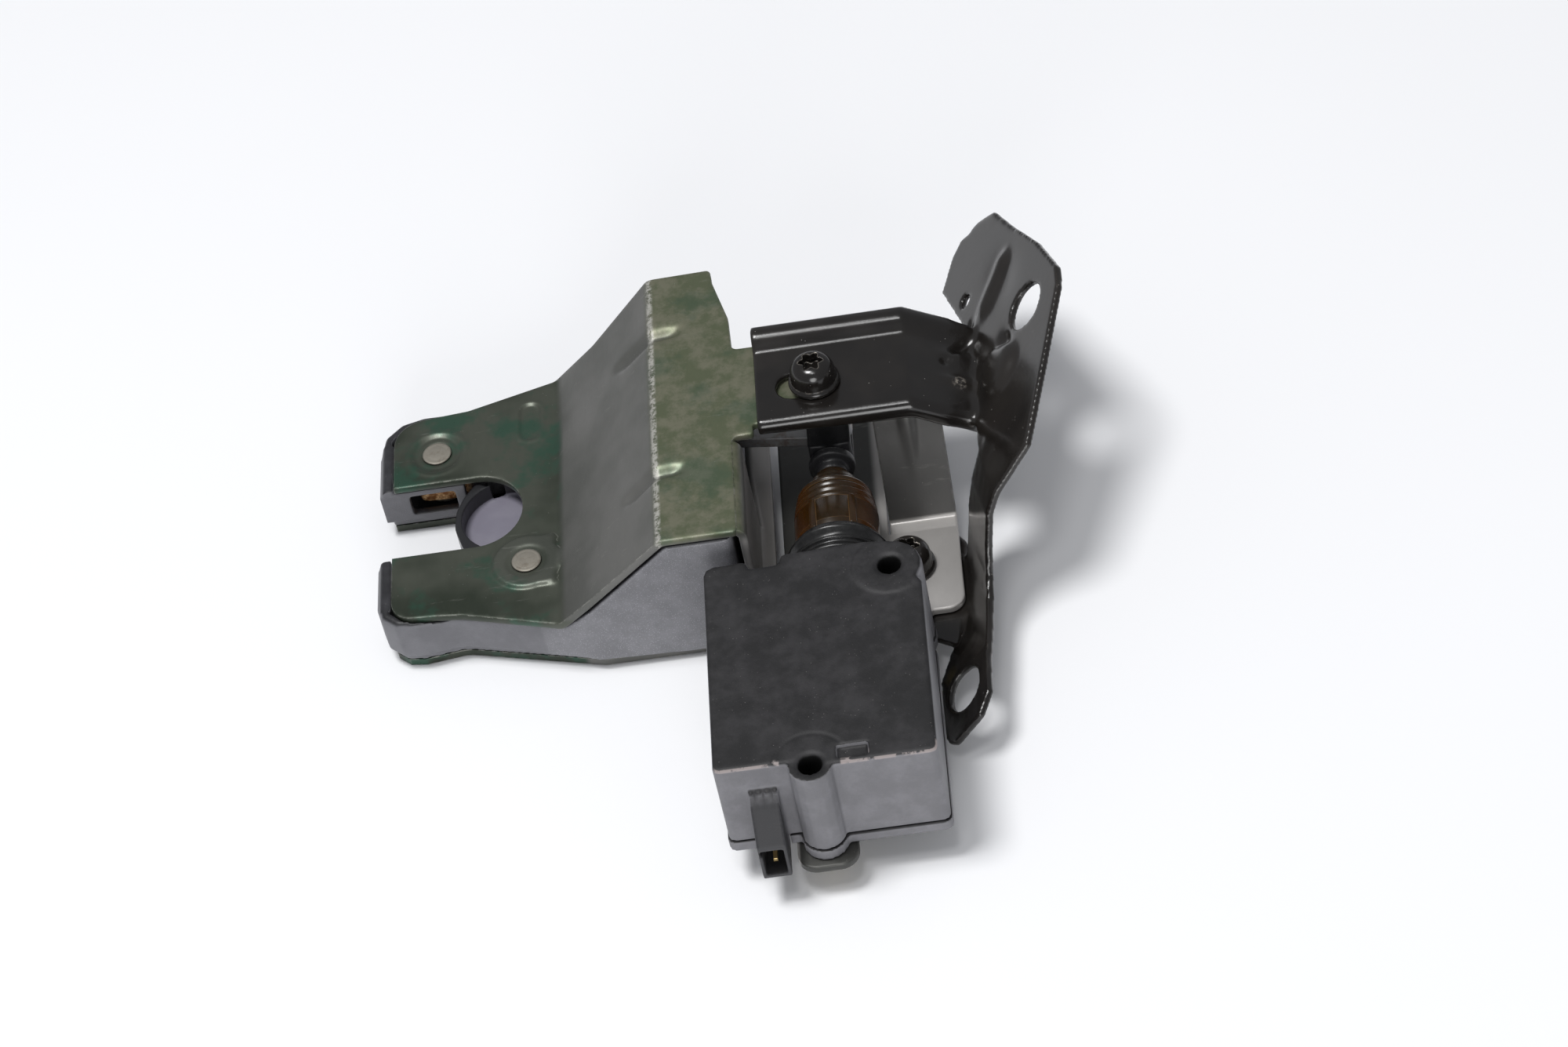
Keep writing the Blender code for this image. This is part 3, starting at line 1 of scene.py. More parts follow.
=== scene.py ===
# %% [markdown]
# # A tailgate lock, dressed for its picture
#
# The solids of the lock come ready made, in metres, with +Z up from the plate that it lies on. This
# lesson gives them the finishes of the real thing: chromated steel that has gone olive and teal, a
# bracket in glossy black, dusty black mouldings, brown grease and an amber cap. Where a solid is
# plainer than the real pressing, a finer piece takes its place.

# %% Load the solids
import json
from math import atan2, cos, pi, radians, sin, tan

import bmesh
import bpy
import numpy as np
from mathutils import Matrix, Vector
from mathutils.geometry import delaunay_2d_cdt


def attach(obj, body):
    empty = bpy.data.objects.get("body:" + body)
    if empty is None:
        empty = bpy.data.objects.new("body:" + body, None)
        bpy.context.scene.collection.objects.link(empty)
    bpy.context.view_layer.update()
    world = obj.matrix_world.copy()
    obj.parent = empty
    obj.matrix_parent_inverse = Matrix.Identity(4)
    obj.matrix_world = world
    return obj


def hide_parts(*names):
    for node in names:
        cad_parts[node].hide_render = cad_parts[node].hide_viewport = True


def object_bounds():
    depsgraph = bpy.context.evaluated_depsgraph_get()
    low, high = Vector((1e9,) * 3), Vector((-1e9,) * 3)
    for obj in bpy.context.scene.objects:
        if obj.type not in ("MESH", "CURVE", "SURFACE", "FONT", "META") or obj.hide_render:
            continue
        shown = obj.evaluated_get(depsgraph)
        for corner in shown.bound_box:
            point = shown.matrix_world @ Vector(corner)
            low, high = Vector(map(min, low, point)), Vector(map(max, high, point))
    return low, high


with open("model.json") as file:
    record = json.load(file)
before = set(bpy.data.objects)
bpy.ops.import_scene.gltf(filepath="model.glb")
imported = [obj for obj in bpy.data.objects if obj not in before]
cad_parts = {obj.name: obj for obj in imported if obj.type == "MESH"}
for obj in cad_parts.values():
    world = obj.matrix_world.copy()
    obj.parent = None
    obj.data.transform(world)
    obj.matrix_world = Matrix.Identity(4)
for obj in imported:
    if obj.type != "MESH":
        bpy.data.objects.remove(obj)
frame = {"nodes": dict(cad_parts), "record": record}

cad_box = [list(corner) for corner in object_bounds()]
print("solids:", len(frame["nodes"]))
print("box in mm:", [[round(v * 1000, 1) for v in corner] for corner in cad_box])

# %% [markdown]
# ## Arithmetic on shader sockets
#
# A finish is mostly masks: where the plate is worn, where dust lies, where the grease is thick. Each
# mask is a few numbers added and multiplied, which reads best as plain arithmetic. A small class
# wraps an output socket, so that `1 - mask` makes the Math node by itself. Every other node comes
# from one method, which sets the node's options before it fills its sockets.

# %% A socket that can be calculated with
class Value:
    """An output socket, with the arithmetic of the numbers that it carries."""

    def __init__(self, finish, socket):
        self.finish = finish
        self.socket = socket

    def __add__(self, other):
        return self.finish.maths("ADD", self, other)

    def __radd__(self, other):
        return self.finish.maths("ADD", other, self)

    def __sub__(self, other):
        return self.finish.maths("SUBTRACT", self, other)

    def __rsub__(self, other):
        return self.finish.maths("SUBTRACT", other, self)

    def __mul__(self, other):
        return self.finish.maths("MULTIPLY", self, other)

    def __rmul__(self, other):
        return self.finish.maths("MULTIPLY", other, self)

    def __abs__(self):
        return self.finish.maths("ABSOLUTE", self)

    def between(self, low, high):
        """0 below low, 1 above high, and smooth in between."""
        return self.finish.node("ShaderNodeMapRange", {"interpolation_type": "SMOOTHSTEP"},
                                {"Value": self, "From Min": low, "From Max": high})

    def clamped(self):
        """The value cut off below 0 and above 1."""
        return self.finish.maths("ADD", self, 0.0, clamp=True)


reflected = [name[3:-2] for name in vars(Value) if name.startswith("__r")]
print("numbers work on both sides of:", ", ".join(reflected))

# %% [markdown]
# ## A finish under construction
#
# Every finish here is a Principled shader with a few layers of noise in front of it. The noises are
# measured in lumps per metre of the lock itself, so a grain keeps its real size on every piece. The
# kinds of layer that come back, such as noise, worn edges and bumps, get a short method each, and all
# of them go through the one method that makes a node.

# %% A finish while its nodes are being made
class Finish:
    """One material, its Principled shader and the ways to add nodes to it."""

    def __init__(self, name, **fixed):
        self.material = bpy.data.materials.new(name)
        self.material.use_nodes = True
        self.tree = self.material.node_tree
        self.shader = self.tree.nodes["Principled BSDF"]
        self.place = self.node("ShaderNodeTexCoord", {}, {}, output="Object")
        for socket, value in fixed.items():
            self.feed(self.shader.inputs, socket.replace("_", " "), value)

    def feed(self, sockets, key, value):
        """Link a value into a socket, or set the socket to a number or colour."""
        named = (socket for socket in sockets if socket.name == key and socket.enabled)
        found = sockets[key] if isinstance(key, int) else next(named)
        if isinstance(value, Value):
            self.tree.links.new(value.socket, found)
        elif found.type == "RGBA" and len(value) == 3:
            found.default_value = (*value, 1.0)
        else:
            found.default_value = value

    def node(self, kind, settings, sockets, output=0):
        """A node with its options set first and its sockets after them."""
        made = self.tree.nodes.new(kind)
        for name, setting in settings.items():
            setattr(made, name, setting)
        for name, value in sockets.items():
            self.feed(made.inputs, name, value)
        if isinstance(output, int):
            return Value(self, [socket for socket in made.outputs if socket.enabled][output])
        return Value(self, made.outputs[output])

    def maths(self, operation, *values, clamp=False):
        """A Math node on sockets and numbers, in the order given."""
        settings = {"operation": operation, "use_clamp": clamp}
        return self.node("ShaderNodeMath", settings, dict(enumerate(values)))

    def noise(self, scale, detail=4.0, roughness=0.6, stretch=(1, 1, 1), seed=0.0):
        """Cloudy noise from 0 to 1, its scale in lumps per metre."""
        shift = (seed, seed * 0.7, seed * 1.3)
        where = self.node("ShaderNodeMapping", {},
                          {"Vector": self.place, "Scale": stretch, "Location": shift})
        return self.node("ShaderNodeTexNoise", {}, {"Vector": where, "Scale": scale, "Detail": detail,
                                                    "Roughness": roughness})

    def cells(self, scale, seed=0.0):
        """Distance to the nearest of many scattered points, in lumps per metre."""
        where = self.node("ShaderNodeMapping", {}, {"Vector": self.place, "Location": (seed, seed, seed)})
        return self.node("ShaderNodeTexVoronoi", {}, {"Vector": where, "Scale": scale}, output="Distance")

    def mixed(self, mask, first, second):
        """The first colour where the mask is 0, and the second where it is 1."""
        return self.node("ShaderNodeMix", {"data_type": "RGBA"}, {"Factor": mask, "A": first, "B": second})

    def soft_normal(self, radius):
        """The normal that the surface would have if its sharp edges were rounded."""
        return self.node("ShaderNodeBevel", {"samples": 6}, {"Radius": radius})

    def edges(self, soft):
        """1 along sharp edges, where a soft normal leans away from the real one, and 0 elsewhere."""
        flat = self.node("ShaderNodeNewGeometry", {}, {}, output="Normal")
        same = self.node("ShaderNodeVectorMath", {"operation": "DOT_PRODUCT"}, {0: soft, 1: flat},
                         output="Value")
        return (1 - same).between(0.01, 0.12)

    def across(self, axis="X"):
        """How far along one axis of the lock, in metres."""
        return self.node("ShaderNodeSeparateXYZ", {}, {"Vector": self.place}, output=axis)

    def away_from(self, spot, axes=(1, 1, 1)):
        """Distance from a spot, in metres, along the axes that are 1."""
        here = self.node("ShaderNodeVectorMath", {"operation": "MULTIPLY"}, {0: self.place, 1: axes})
        return self.node("ShaderNodeVectorMath", {"operation": "DISTANCE"}, {0: here, 1: spot},
                         output="Value")

    def upward(self):
        """How far the surface faces up."""
        normal = self.node("ShaderNodeNewGeometry", {}, {}, output="Normal")
        return self.node("ShaderNodeSeparateXYZ", {}, {"Vector": normal}, output="Z")

    def bump(self, height, distance, strength=1.0, normal=None):
        """Raise the surface by a height map, with the height in metres."""
        sockets = {"Height": height, "Distance": distance, "Strength": strength}
        if normal:
            sockets["Normal"] = normal
        return self.node("ShaderNodeBump", {}, sockets)

    def wear(self, **fed):
        """Feed the shader with what varies over the surface, and hand back the material."""
        for socket, value in fed.items():
            self.feed(self.shader.inputs, socket.replace("_", " "), value)
        return self.material


print("a finish can add:", ", ".join(name for name in vars(Finish) if not name.startswith("_")))

# %% [markdown]
# ## Olive chromate
#
# The lock plate is steel in an olive chromate. The coat is thin, so its colour drifts between olive,
# grey and a teal that shows most round the rivets, and it is rubbed pale along the bends. The drift is
# a slow noise between three colours, and the rub is a mask made by the Bevel node, which knows where
# an edge is near.

# %% Olive chromate
def chromate():
    f = Finish("olive_chromate", Metallic=0.45, IOR=1.5)
    x, y, z = f.across(), f.across("Y"), f.across("Z")

    # Parts of the plate, by where they are: the prongs, the raised section, and what lies under the strip.
    prongs = (1 - z.between(0.0172, 0.019)) * (1 - x.between(0.0105, 0.0125))
    raised = z.between(0.0385, 0.0405) * x.between(0.033, 0.0365)
    sunk = (1 - z.between(0.036, 0.039)) * x.between(0.05, 0.053)
    web = sunk * x.between(0.0535, 0.055) * (1 - x.between(0.0598, 0.0604))
    floor = sunk * (1 - z.between(0.0104, 0.0112))
    shelf = floor * x.between(0.083, 0.085) * y.between(-0.05, -0.047)

    drift = f.noise(34, 3, 0.55, seed=3.1).between(0.38, 0.62)
    mottle = f.noise(150, 6, 0.7, seed=2.2).between(0.4, 0.62)
    tone = f.mixed(drift, (0.15, 0.149, 0.14), (0.105, 0.107, 0.098))
    tone = f.mixed(prongs, tone, f.mixed(drift, (0.03, 0.038, 0.026), (0.075, 0.082, 0.064)))
    tone = f.mixed(raised, tone, f.mixed(mottle, (0.105, 0.12, 0.07), (0.17, 0.17, 0.118)))
    tone = f.mixed(sunk, tone, (0.09, 0.088, 0.085))
    # Painted shade: the floor under the raised strip is made darker, as if in its shadow.
    tone = f.mixed(floor, tone, (0.05, 0.05, 0.046))
    # Painted light: the shelf and the web are made pale, as if well lit.
    tone = f.mixed((shelf + web).clamped(), tone, (0.4, 0.385, 0.37))

    # Teal patches, then scuffs and specks, then the rub along the edges and the crest of the bend.
    patches = f.noise(70, 4, 0.6, seed=8.4).between(0.5, 0.66)
    tone = f.mixed(patches * (prongs * 0.75 + raised * 0.35).clamped(), tone, (0.028, 0.085, 0.055))
    scuffs = f.noise(260, 6, 0.75, stretch=(0.25, 1.6, 1), seed=5.0).between(0.6, 0.74)
    specks = (1 - f.cells(700, 3.0).between(0.03, 0.09)) * f.noise(200, 2, seed=4.4).between(0.5, 0.6)
    tone = f.mixed((scuffs * 0.25 + specks * (0.5 + sunk * 0.4)).clamped(), tone, (0.34, 0.34, 0.31))
    soft = f.soft_normal(0.0005)
    chipped = f.noise(420, 4, 0.7, seed=1.5).between(0.4, 0.6)
    crest = 1 - abs(x - 0.0352).between(0.0003, 0.0011)
    crest = crest * z.between(0.036, 0.038) * f.noise(700, 5, 0.8, seed=7.0).between(0.42, 0.56)
    rub = (f.edges(soft) * chipped * 0.8 + crest).clamped()
    tone = f.mixed(rub * 0.85, tone, (0.5, 0.49, 0.45))

    grain = f.noise(900, 3, 0.7, stretch=(1, 0.35, 1))
    rough = 0.34 + grain * 0.16 + patches * -0.06 + rub * 0.1 - prongs * 0.06
    return f.wear(Base_Color=tone, Roughness=rough, Normal=f.bump(grain, 0.00004, 0.5, soft))


FINISHES = {"chromated_steel": chromate()}
print("olive chromate has", len(FINISHES["chromated_steel"].node_tree.nodes), "nodes")

# %% [markdown]
# ## Glossy black coat
#
# The bracket and its screws are coated in a hard black that shines and shows every dust speck. The
# coat is only thin at the sheet's edges, where it has rubbed through to bright steel. Rubbed steel is
# metal and the coat isn't, so the rub mask feeds the metallic socket as well as the colour.

# %% Glossy black coat on the bracket
BARE_SPOT = (0.1077, 0.0195, 0.0365)


def black_coat():
    f = Finish("black_coat", Metallic=0.0, IOR=1.55)
    haze = f.noise(45, 3, 0.6, seed=1.0).between(0.35, 0.7)
    dust = (1 - f.cells(620, 2.0).between(0.03, 0.08)) * f.noise(160, 3, 0.6, seed=9.0).between(0.5, 0.6)
    colour = f.mixed(haze, (0.009, 0.0078, 0.007), (0.016, 0.0135, 0.0115))
    colour = f.mixed(dust * 0.7, colour, (0.5, 0.48, 0.45))
    soft = f.soft_normal(0.0005)
    edge = f.edges(soft)
    rub = edge * f.noise(330, 5, 0.75, seed=6.0).between(0.42, 0.58)
    bare = 1 - f.away_from(BARE_SPOT).between(0.0008, 0.0024)
    bare = bare * f.noise(900, 4, 0.7, seed=5.5).between(0.45, 0.6)
    top_corner = f.across("Z").between(0.0515, 0.054) * f.across().between(0.1225, 0.1255) * edge
    rub = (rub + bare + top_corner).clamped()
    colour = f.mixed(rub * 0.85, colour, (0.42, 0.38, 0.33))
    rough = 0.17 + haze * 0.08 + dust * 0.3 + rub * 0.15
    peel = f.noise(700, 2, 0.5)
    return f.wear(Base_Color=colour, Roughness=rough, Metallic=rub * 0.7,
                  Normal=f.bump(peel, 0.00003, 0.4, soft))


FINISHES["black_steel"] = black_coat()
print("black coat has", len(FINISHES["black_steel"].node_tree.nodes), "nodes")

# %% [markdown]
# ## Bare metal
#
# The rivets, springs and contacts are plain metal, and the unit's screws are yellow zinc. They differ
# only in colour and gloss, so one function makes them all: a colour, stained in blotches, under a fine
# grain. The screws sit deep in their holes, so above some height they are painted black as shade.

# %% Bare rivets, springs and zinc
def bare_steel(name, colour, rough, stain, shade=None):
    """Plain metal with stains; above the height called shade it is painted black, as painted shade deep in a
    hole.
    """
    f = Finish(name, Metallic=0.85)
    blotch = f.noise(300, 5, 0.7).between(0.45, 0.7)
    grain = f.noise(2200, 3, 0.7)
    tint = f.mixed(blotch * 0.6, colour, stain)
    if shade:
        # Painted shade: black above the height called shade.
        tint = f.mixed(f.across("Z").between(shade, shade + 0.002), tint, (0.004, 0.004, 0.004))
    return f.wear(Base_Color=tint, Roughness=rough + grain * 0.2,
                  Normal=f.bump(grain, 0.00003, 0.5, f.soft_normal(0.0004)))


FINISHES["rivet_steel"] = bare_steel("rivet_steel", (0.3, 0.28, 0.24), 0.5, (0.16, 0.13, 0.1))
FINISHES["spring_steel"] = bare_steel("spring_steel", (0.42, 0.42, 0.43), 0.3, (0.2, 0.13, 0.08))
FINISHES["yellow_zinc"] = bare_steel("yellow_zinc", (0.62, 0.52, 0.3), 0.38, (0.5, 0.42, 0.25), shade=0.013)
FINISHES["brass"] = bare_steel("brass", (0.75, 0.56, 0.26), 0.28, (0.5, 0.36, 0.16))
print("finishes so far:", ", ".join(FINISHES))

# %% [markdown]
# ## Marks of one moulding
#
# The tray and the motor unit are both black plastic, but each has something that the other hasn't. The
# tray's tall side has a coarse eroded grain with painted glints, and the motor unit has a rubbed front
# edge, a blacker plug and two deep screw holes painted black as shade. A small function adds the marks
# of each, so that one finish can serve both.

# %% Marks that only one moulding has
MM = 0.001
UNIT_HOLES = ((66.5, -91.7), (87.7, -36.2))


def eroded_side(f, tone, side):
    """The coarse grain of the tray's tall side with painted glints, and the smooth darker nose beside it."""
    coarse = f.across().between(0.002, 0.0035) * side
    # Painted glints: bright specks of colour on the coarse grain stand in for its glitter.
    painted_glint = 1 - f.cells(2300, 6.0).between(0.1, 0.3)
    tone = f.mixed(coarse * painted_glint * 0.4, tone, (0.55, 0.55, 0.58))
    return f.mixed((1 - coarse) * side * 0.35, tone, (0.07, 0.07, 0.08))


def unit_marks(f, tone, side):
    """The motor unit's rubbed front edge, its plug, and painted shade in its screw holes."""
    x, y, z = f.across(), f.across("Y"), f.across("Z")
    front = z.between(0.0371, 0.0374) * (1 - z.between(0.0378, 0.0379)) * (1 - y.between(-0.0902, -0.089))
    beside_boss = abs(x - UNIT_HOLES[0][0] * MM).between(0.0066, 0.007)
    rub = front * beside_boss * f.noise(330, 5, 0.7, stretch=(1, 0.2, 1), seed=3.3).between(0.4, 0.5)
    tone = f.mixed(rub * 0.7, tone, (0.36, 0.31, 0.3))
    plug = (1 - y.between(-0.094, -0.0925)) * (1 - abs(x - 0.0549).between(0.0034, 0.0037))
    tone = f.mixed(plug * 0.85, tone, (0.016, 0.016, 0.018))
    # Painted shade: the screw holes are made black, as shade deep inside them.
    for hole_x, hole_y in UNIT_HOLES:
        painted_hole_shade = 1 - f.away_from((hole_x * MM, hole_y * MM, 0), (1, 1, 0)).between(0.0027, 0.0031)
        tone = f.mixed(painted_hole_shade, tone, (0.003, 0.003, 0.003))
    return tone


print("holes in the motor unit, in mm:", UNIT_HOLES)

# %% [markdown]
# ## Mouldings
#
# No moulding is really black: dust and handling turn its upward faces grey, and its sides are painted
# lighter than its top, as painted light for the light that the sides catch. Dust is a mask of noise,
# stronger where the surface looks up. One function makes all four mouldings, which differ in colour,
# dust and grain.

# %% Mouldings
def moulding(name, colour, painted_side_light, dust_colour, dust_amount, grain_scale, grain_depth, rough,
             marks=None):
    f = Finish(name, IOR=1.46)
    cloud = f.noise(120, 5, 0.7, seed=4.0).between(0.36, 0.72)
    dust = (cloud * (0.35 + f.upward().between(-0.2, 0.9) * 0.65) * dust_amount).clamped()
    # Painted light: faces that look sideways get the lighter side colour.
    side = 1 - abs(f.upward()).between(0.25, 0.8)
    tone = f.mixed(dust, colour, dust_colour)
    tone = f.mixed(side * (0.75 + cloud * 0.25), tone, painted_side_light)
    specks = (1 - f.cells(1100, 2.0).between(0.05, 0.16)) * f.noise(240, 3, 0.6, seed=9.0).between(0.5, 0.62)
    scratch = f.noise(180, 7, 0.8, stretch=(3.5, 0.3, 1), seed=2.7).between(0.66, 0.75)
    soft = f.soft_normal(0.0005)
    tone = f.mixed((specks * 0.5 + scratch * 0.25 + f.edges(soft) * 0.12).clamped(), tone, (0.22, 0.21, 0.2))
    if marks:
        tone = marks(f, tone, side)
    grain = f.noise(grain_scale, 2, 0.6)
    return f.wear(Base_Color=tone, Roughness=rough + dust * 0.15 + grain * 0.08,
                  Normal=f.bump(grain, grain_depth, 0.7, soft))


FINISHES["black_plastic"] = moulding("tray_moulding", (0.014, 0.014, 0.016), (0.2, 0.2, 0.215),
                                     (0.075, 0.075, 0.085), 0.3, 2600, 0.00009, 0.4, eroded_side)
FINISHES["cover_plastic"] = moulding("motor_moulding", (0.007, 0.0068, 0.0075), (0.2, 0.198, 0.212),
                                     (0.042, 0.04, 0.043), 0.5, 3400, 0.00005, 0.5, unit_marks)
FINISHES["yoke"] = moulding("yoke_moulding", (0.01, 0.01, 0.011), (0.02, 0.02, 0.022),
                            (0.04, 0.04, 0.042), 0.3, 2600, 0.00003, 0.35)
FINISHES["gear_plastic"] = moulding("gear_moulding", (0.6, 0.59, 0.55), (0.6, 0.59, 0.55),
                                    (0.5, 0.48, 0.44), 0.3, 1800, 0.00003, 0.4)
print("finishes so far:", ", ".join(FINISHES))

# %% [markdown]
# ## Coated catch, rubber and amber
#
# The catch is steel inside a moulded coat, lilac grey on its flat web and black on the wall round it,
# so its colour changes at one height. The boot is rubber with a pale bloom. The cap is dark amber
# plastic: light enters it, so it gets a little subsurface, and its flanks are painted redder and its
# edges paler, as painted light for the light that comes through the thin amber there.

# %% The coated catch, rubber and the amber cap
ROD = (75.3, 24.0)


def jacket():
    f = Finish("catch_jacket", IOR=1.46)
    cloud = f.noise(150, 3, 0.5)
    web = f.mixed(cloud.between(0.3, 0.7), (0.2, 0.19, 0.235), (0.23, 0.22, 0.265))
    wall = f.across("Z").between(0.0096, 0.0101)
    return f.wear(Base_Color=f.mixed(wall, web, (0.018, 0.018, 0.02)), Roughness=0.42 - wall * 0.1,
                  Normal=f.bump(cloud, 0.00003, 0.3, f.soft_normal(0.0005)))


def rubber():
    f = Finish("boot_rubber", IOR=1.5)
    bloom = f.noise(260, 4, 0.7).between(0.4, 0.8)
    return f.wear(Base_Color=f.mixed(bloom * 0.3, (0.008, 0.008, 0.008), (0.04, 0.038, 0.038)),
                  Roughness=0.26 + bloom * 0.2, Normal=f.bump(f.noise(1600, 2), 0.00003, 0.5))


def amber():
    f = Finish("amber_cap", IOR=1.45, Subsurface_Weight=0.15, Subsurface_Scale=0.002,
               Subsurface_Radius=(1.0, 0.35, 0.08))
    cloud = f.noise(180, 4, 0.6)
    soft = f.soft_normal(0.0004)
    # Painted light: the flanks are made redder and the edges paler, for light through the thin amber.
    painted_flank_light = abs(f.across() - ROD[0] * MM).between(0.003, 0.0098)
    tone = f.mixed(cloud.between(0.3, 0.75), (0.016, 0.008, 0.002), (0.028, 0.014, 0.003))
    tone = f.mixed(painted_flank_light, tone, (0.05, 0.017, 0.003))
    tone = f.mixed(f.edges(soft) * 0.35, tone, (0.3, 0.16, 0.06))
    return f.wear(Base_Color=tone, Roughness=0.16 + cloud * 0.12, Normal=f.bump(cloud, 0.00004, 0.3, soft))


FINISHES.update(catch_jacket=jacket(), boot_rubber=rubber(), amber_plastic=amber())
print("finishes so far:", len(FINISHES))

# %% [markdown]
# ## Grease
#
# The pawl is steel under thick brown grease, which shows in the plate's window. Thick grease stands up
# in lumps and is paler, thin grease lets the steel through, so one noise drives colour, gloss and
# height together. East of the window the tray shades the pawl, and it is made dark there.

# %% Grease on the pawl
def grease():
    f = Finish("greased_steel", IOR=1.45)
    lumps = f.noise(520, 5, 0.7)
    thick = lumps.between(0.4, 0.65)
    tone = f.mixed(thick, (0.3, 0.12, 0.04), (0.95, 0.62, 0.32))
    tone = f.mixed(f.across().between(-0.0165, -0.014), tone, (0.02, 0.02, 0.022))
    return f.wear(Base_Color=tone, Roughness=0.35 + thick * 0.25, Metallic=0.4 - thick * 0.4,
                  Normal=f.bump(lumps, 0.0004, 0.8))


FINISHES["greased_steel"] = grease()
print("grease has", len(FINISHES["greased_steel"].node_tree.nodes), "nodes")

# %% [markdown]
# ## Which solid gets which finish
#
# The record names a material slot for every solid. One table from slot to finish dresses them all,
# so two pieces of the same stuff always match.

# %% Dress the solids
for part in frame["record"]["subparts"]:
    mesh = frame["nodes"][part["node"]].data
    finish = FINISHES[part["material_slot"]]
    if not mesh.materials:
        mesh.materials.append(finish)
    for index in range(len(mesh.materials)):
        mesh.materials[index] = finish

# %% [markdown]
# ## Finer skins for the solids
#
# A solid from CAD has knife edges, and a real moulding or pressing has none. The Remesh modifier lays
# an even skin of small faces over a copy of the solid, a little smoothing rounds its corners, and then
# the points of the skin can be pushed about by a function, which is how dents, ribs and swells get
# into it. Last, faces that lie flat are thinned out again. Bending the solid itself would be lighter,
# but its few faces could not carry a dent.

# %% Skins
def smooth_step(value, low, high):
    """0 below low, 1 above high, with a soft start and end."""
    share = np.clip((value - low) / (high - low), 0, 1)
    return share * share * (3 - 2 * share)


def linked(name, data):
    """A new object in the scene, from a mesh, a light or a camera."""
    made = bpy.data.objects.new(name, data)
    bpy.context.scene.collection.objects.link(made)
    return made


def settle(made):
    """Replace an object's mesh by what its modifiers make of it."""
    graph = bpy.context.evaluated_depsgraph_get()
    made.data = bpy.data.meshes.new_from_object(made.evaluated_get(graph))
    made.modifiers.clear()
    return made


def skinned(made, size, rounds):
    """The object as an even skin with rounded corners; the size of its faces is in millimetres."""
    skin = made.modifiers.new("skin", "REMESH")
    skin.mode = "VOXEL"
    skin.voxel_size = size * MM
    calm = made.modifiers.new("calm", "SMOOTH")
    calm.factor = 0.5
    calm.iterations = rounds
    return settle(made)


def skin_of(node, name, size, rounds):
    """A copy of a solid as a skin."""
    return skinned(linked(name, frame["nodes"][node].data.copy()), size, rounds)


print("a smooth step in five stops:", smooth_step(np.linspace(0, 1, 5), 0, 1).round(2))

# %% [markdown]
# ## Moving the points of a skin
#
# Dents and swells are easiest to describe for all points at once. So the points of a mesh are read
# into one array, in millimetres, and written back when they have moved. Smoothing can be weighted
# point by point, which softens a wide bend and leaves the edges beside it alone.

# %% Points that can be moved
def points_of(made):
    """The points of a mesh in millimetres."""
    flat = np.empty(len(made.data.vertices) * 3)
    made.data.vertices.foreach_get("co", flat)
    return flat.reshape(-1, 3) / MM


def move_points(made, points):
    made.data.vertices.foreach_set("co", (points * MM).ravel())
    made.data.update()


def eased(made, weight, rounds):
    """Smooth a skin only where the weight of its points says so."""
    pairs = np.empty(len(made.data.edges) * 2, int)
    made.data.edges.foreach_get("vertices", pairs)
    first, second = pairs.reshape(-1, 2).T
    points = points_of(made)
    count = np.bincount(pairs, minlength=len(points))
    share = weight(points)[:, None] * 0.6
    for _ in range(rounds):
        total = np.stack([np.bincount(first, points[second, k], len(points)) for k in range(3)], 1)
        total += np.stack([np.bincount(second, points[first, k], len(points)) for k in range(3)], 1)
        points += share * (total / count[:, None] - points)
    move_points(made, points)


def thinned(made, share):
    """Take out faces where the skin lies flat."""
    thin = made.modifiers.new("thin", "DECIMATE")
    thin.ratio = share
    return settle(made)


print("points of the plain bracket:", len(points_of(frame["nodes"]["mounting_bracket"])))

# %% [markdown]
# ## A piece in its place
#
# A finer piece has to move with the lock's own parts, so it rides on the body that its solid belongs
# to, and the solid is hidden. Doing this in one function means that no piece can be forgotten on the
# way: finish, smooth shading, body, the solids that it stands for, and the slot of its material.

# %% Put a piece in place
BODIES = frame["record"]["behaviour"]["bodies"]


def place(made, slot, *nodes, sharp=40, finish=None):
    """Give a piece its finish and its body, in place of the solids that it stands for."""
    body = next(name for name, members in BODIES.items() if nodes[0] in members)
    made.data.materials.clear()
    made.data.materials.append(FINISHES[finish or slot])
    made.data.polygons.foreach_set("material_index", [0] * len(made.data.polygons))
    made.data.shade_smooth()
    made.data.set_sharp_from_angle(angle=radians(sharp))
    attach(made, body)
    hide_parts(*nodes)
    print(made.name, "has", sum(len(p.vertices) - 2 for p in made.data.polygons), "triangles")
    return made


print("bodies to ride on:", ", ".join(BODIES))

# %% [markdown]
# ## The mounting bracket
#
# The bracket is one stamping: a flat arm with a rolled lip on each side, a valley, and a flange that
# climbs away from it, with a long ridge, a swell and small gussets that stiffen it. The valley and the
# fold at the foot are wide soft bends, so the skin is smoothed hard along them.

# %% Places on the bracket
FLANGE_TILT, FLANGE_LEAN = radians(48.65), 0.045
VALLEY = (111.6, 33.5)
LIP_CREASE = [(112.5, 41.3, 34.4), (111.8, 37.8, 34.8), (110.1, 33.2, 35.7), (107.7, 29.7, 37.0),
              (105.2, 26.1, 38.4)]


def along_line(points, start, end):
    """How far points lie from a line, and their share of the way along it."""
    start, end = np.array(start, float), np.array(end, float)
    way = end - start
    share = ((points - start) @ way) / (way @ way)
    near = start + np.clip(share, 0, 1)[:, None] * way
    return np.linalg.norm(points - near, axis=1), share


def bell(*terms):
    """1 where every (value, middle, width) is in its middle, falling smoothly to 0 away from it."""
    return np.exp(-sum(((value - middle) / width) ** 2 for value, middle, width in terms))


def on_flange(points):
    """Place on the upper flange: up its slope from the valley, north, and off its middle."""
    across, north = points[:, 0] - VALLEY[0], points[:, 1]
    rise = points[:, 2] - VALLEY[1] + FLANGE_LEAN * (north - 18)
    slope = across * cos(FLANGE_TILT) + rise * sin(FLANGE_TILT)
    return slope, north, rise * cos(FLANGE_TILT) - across * sin(FLANGE_TILT)


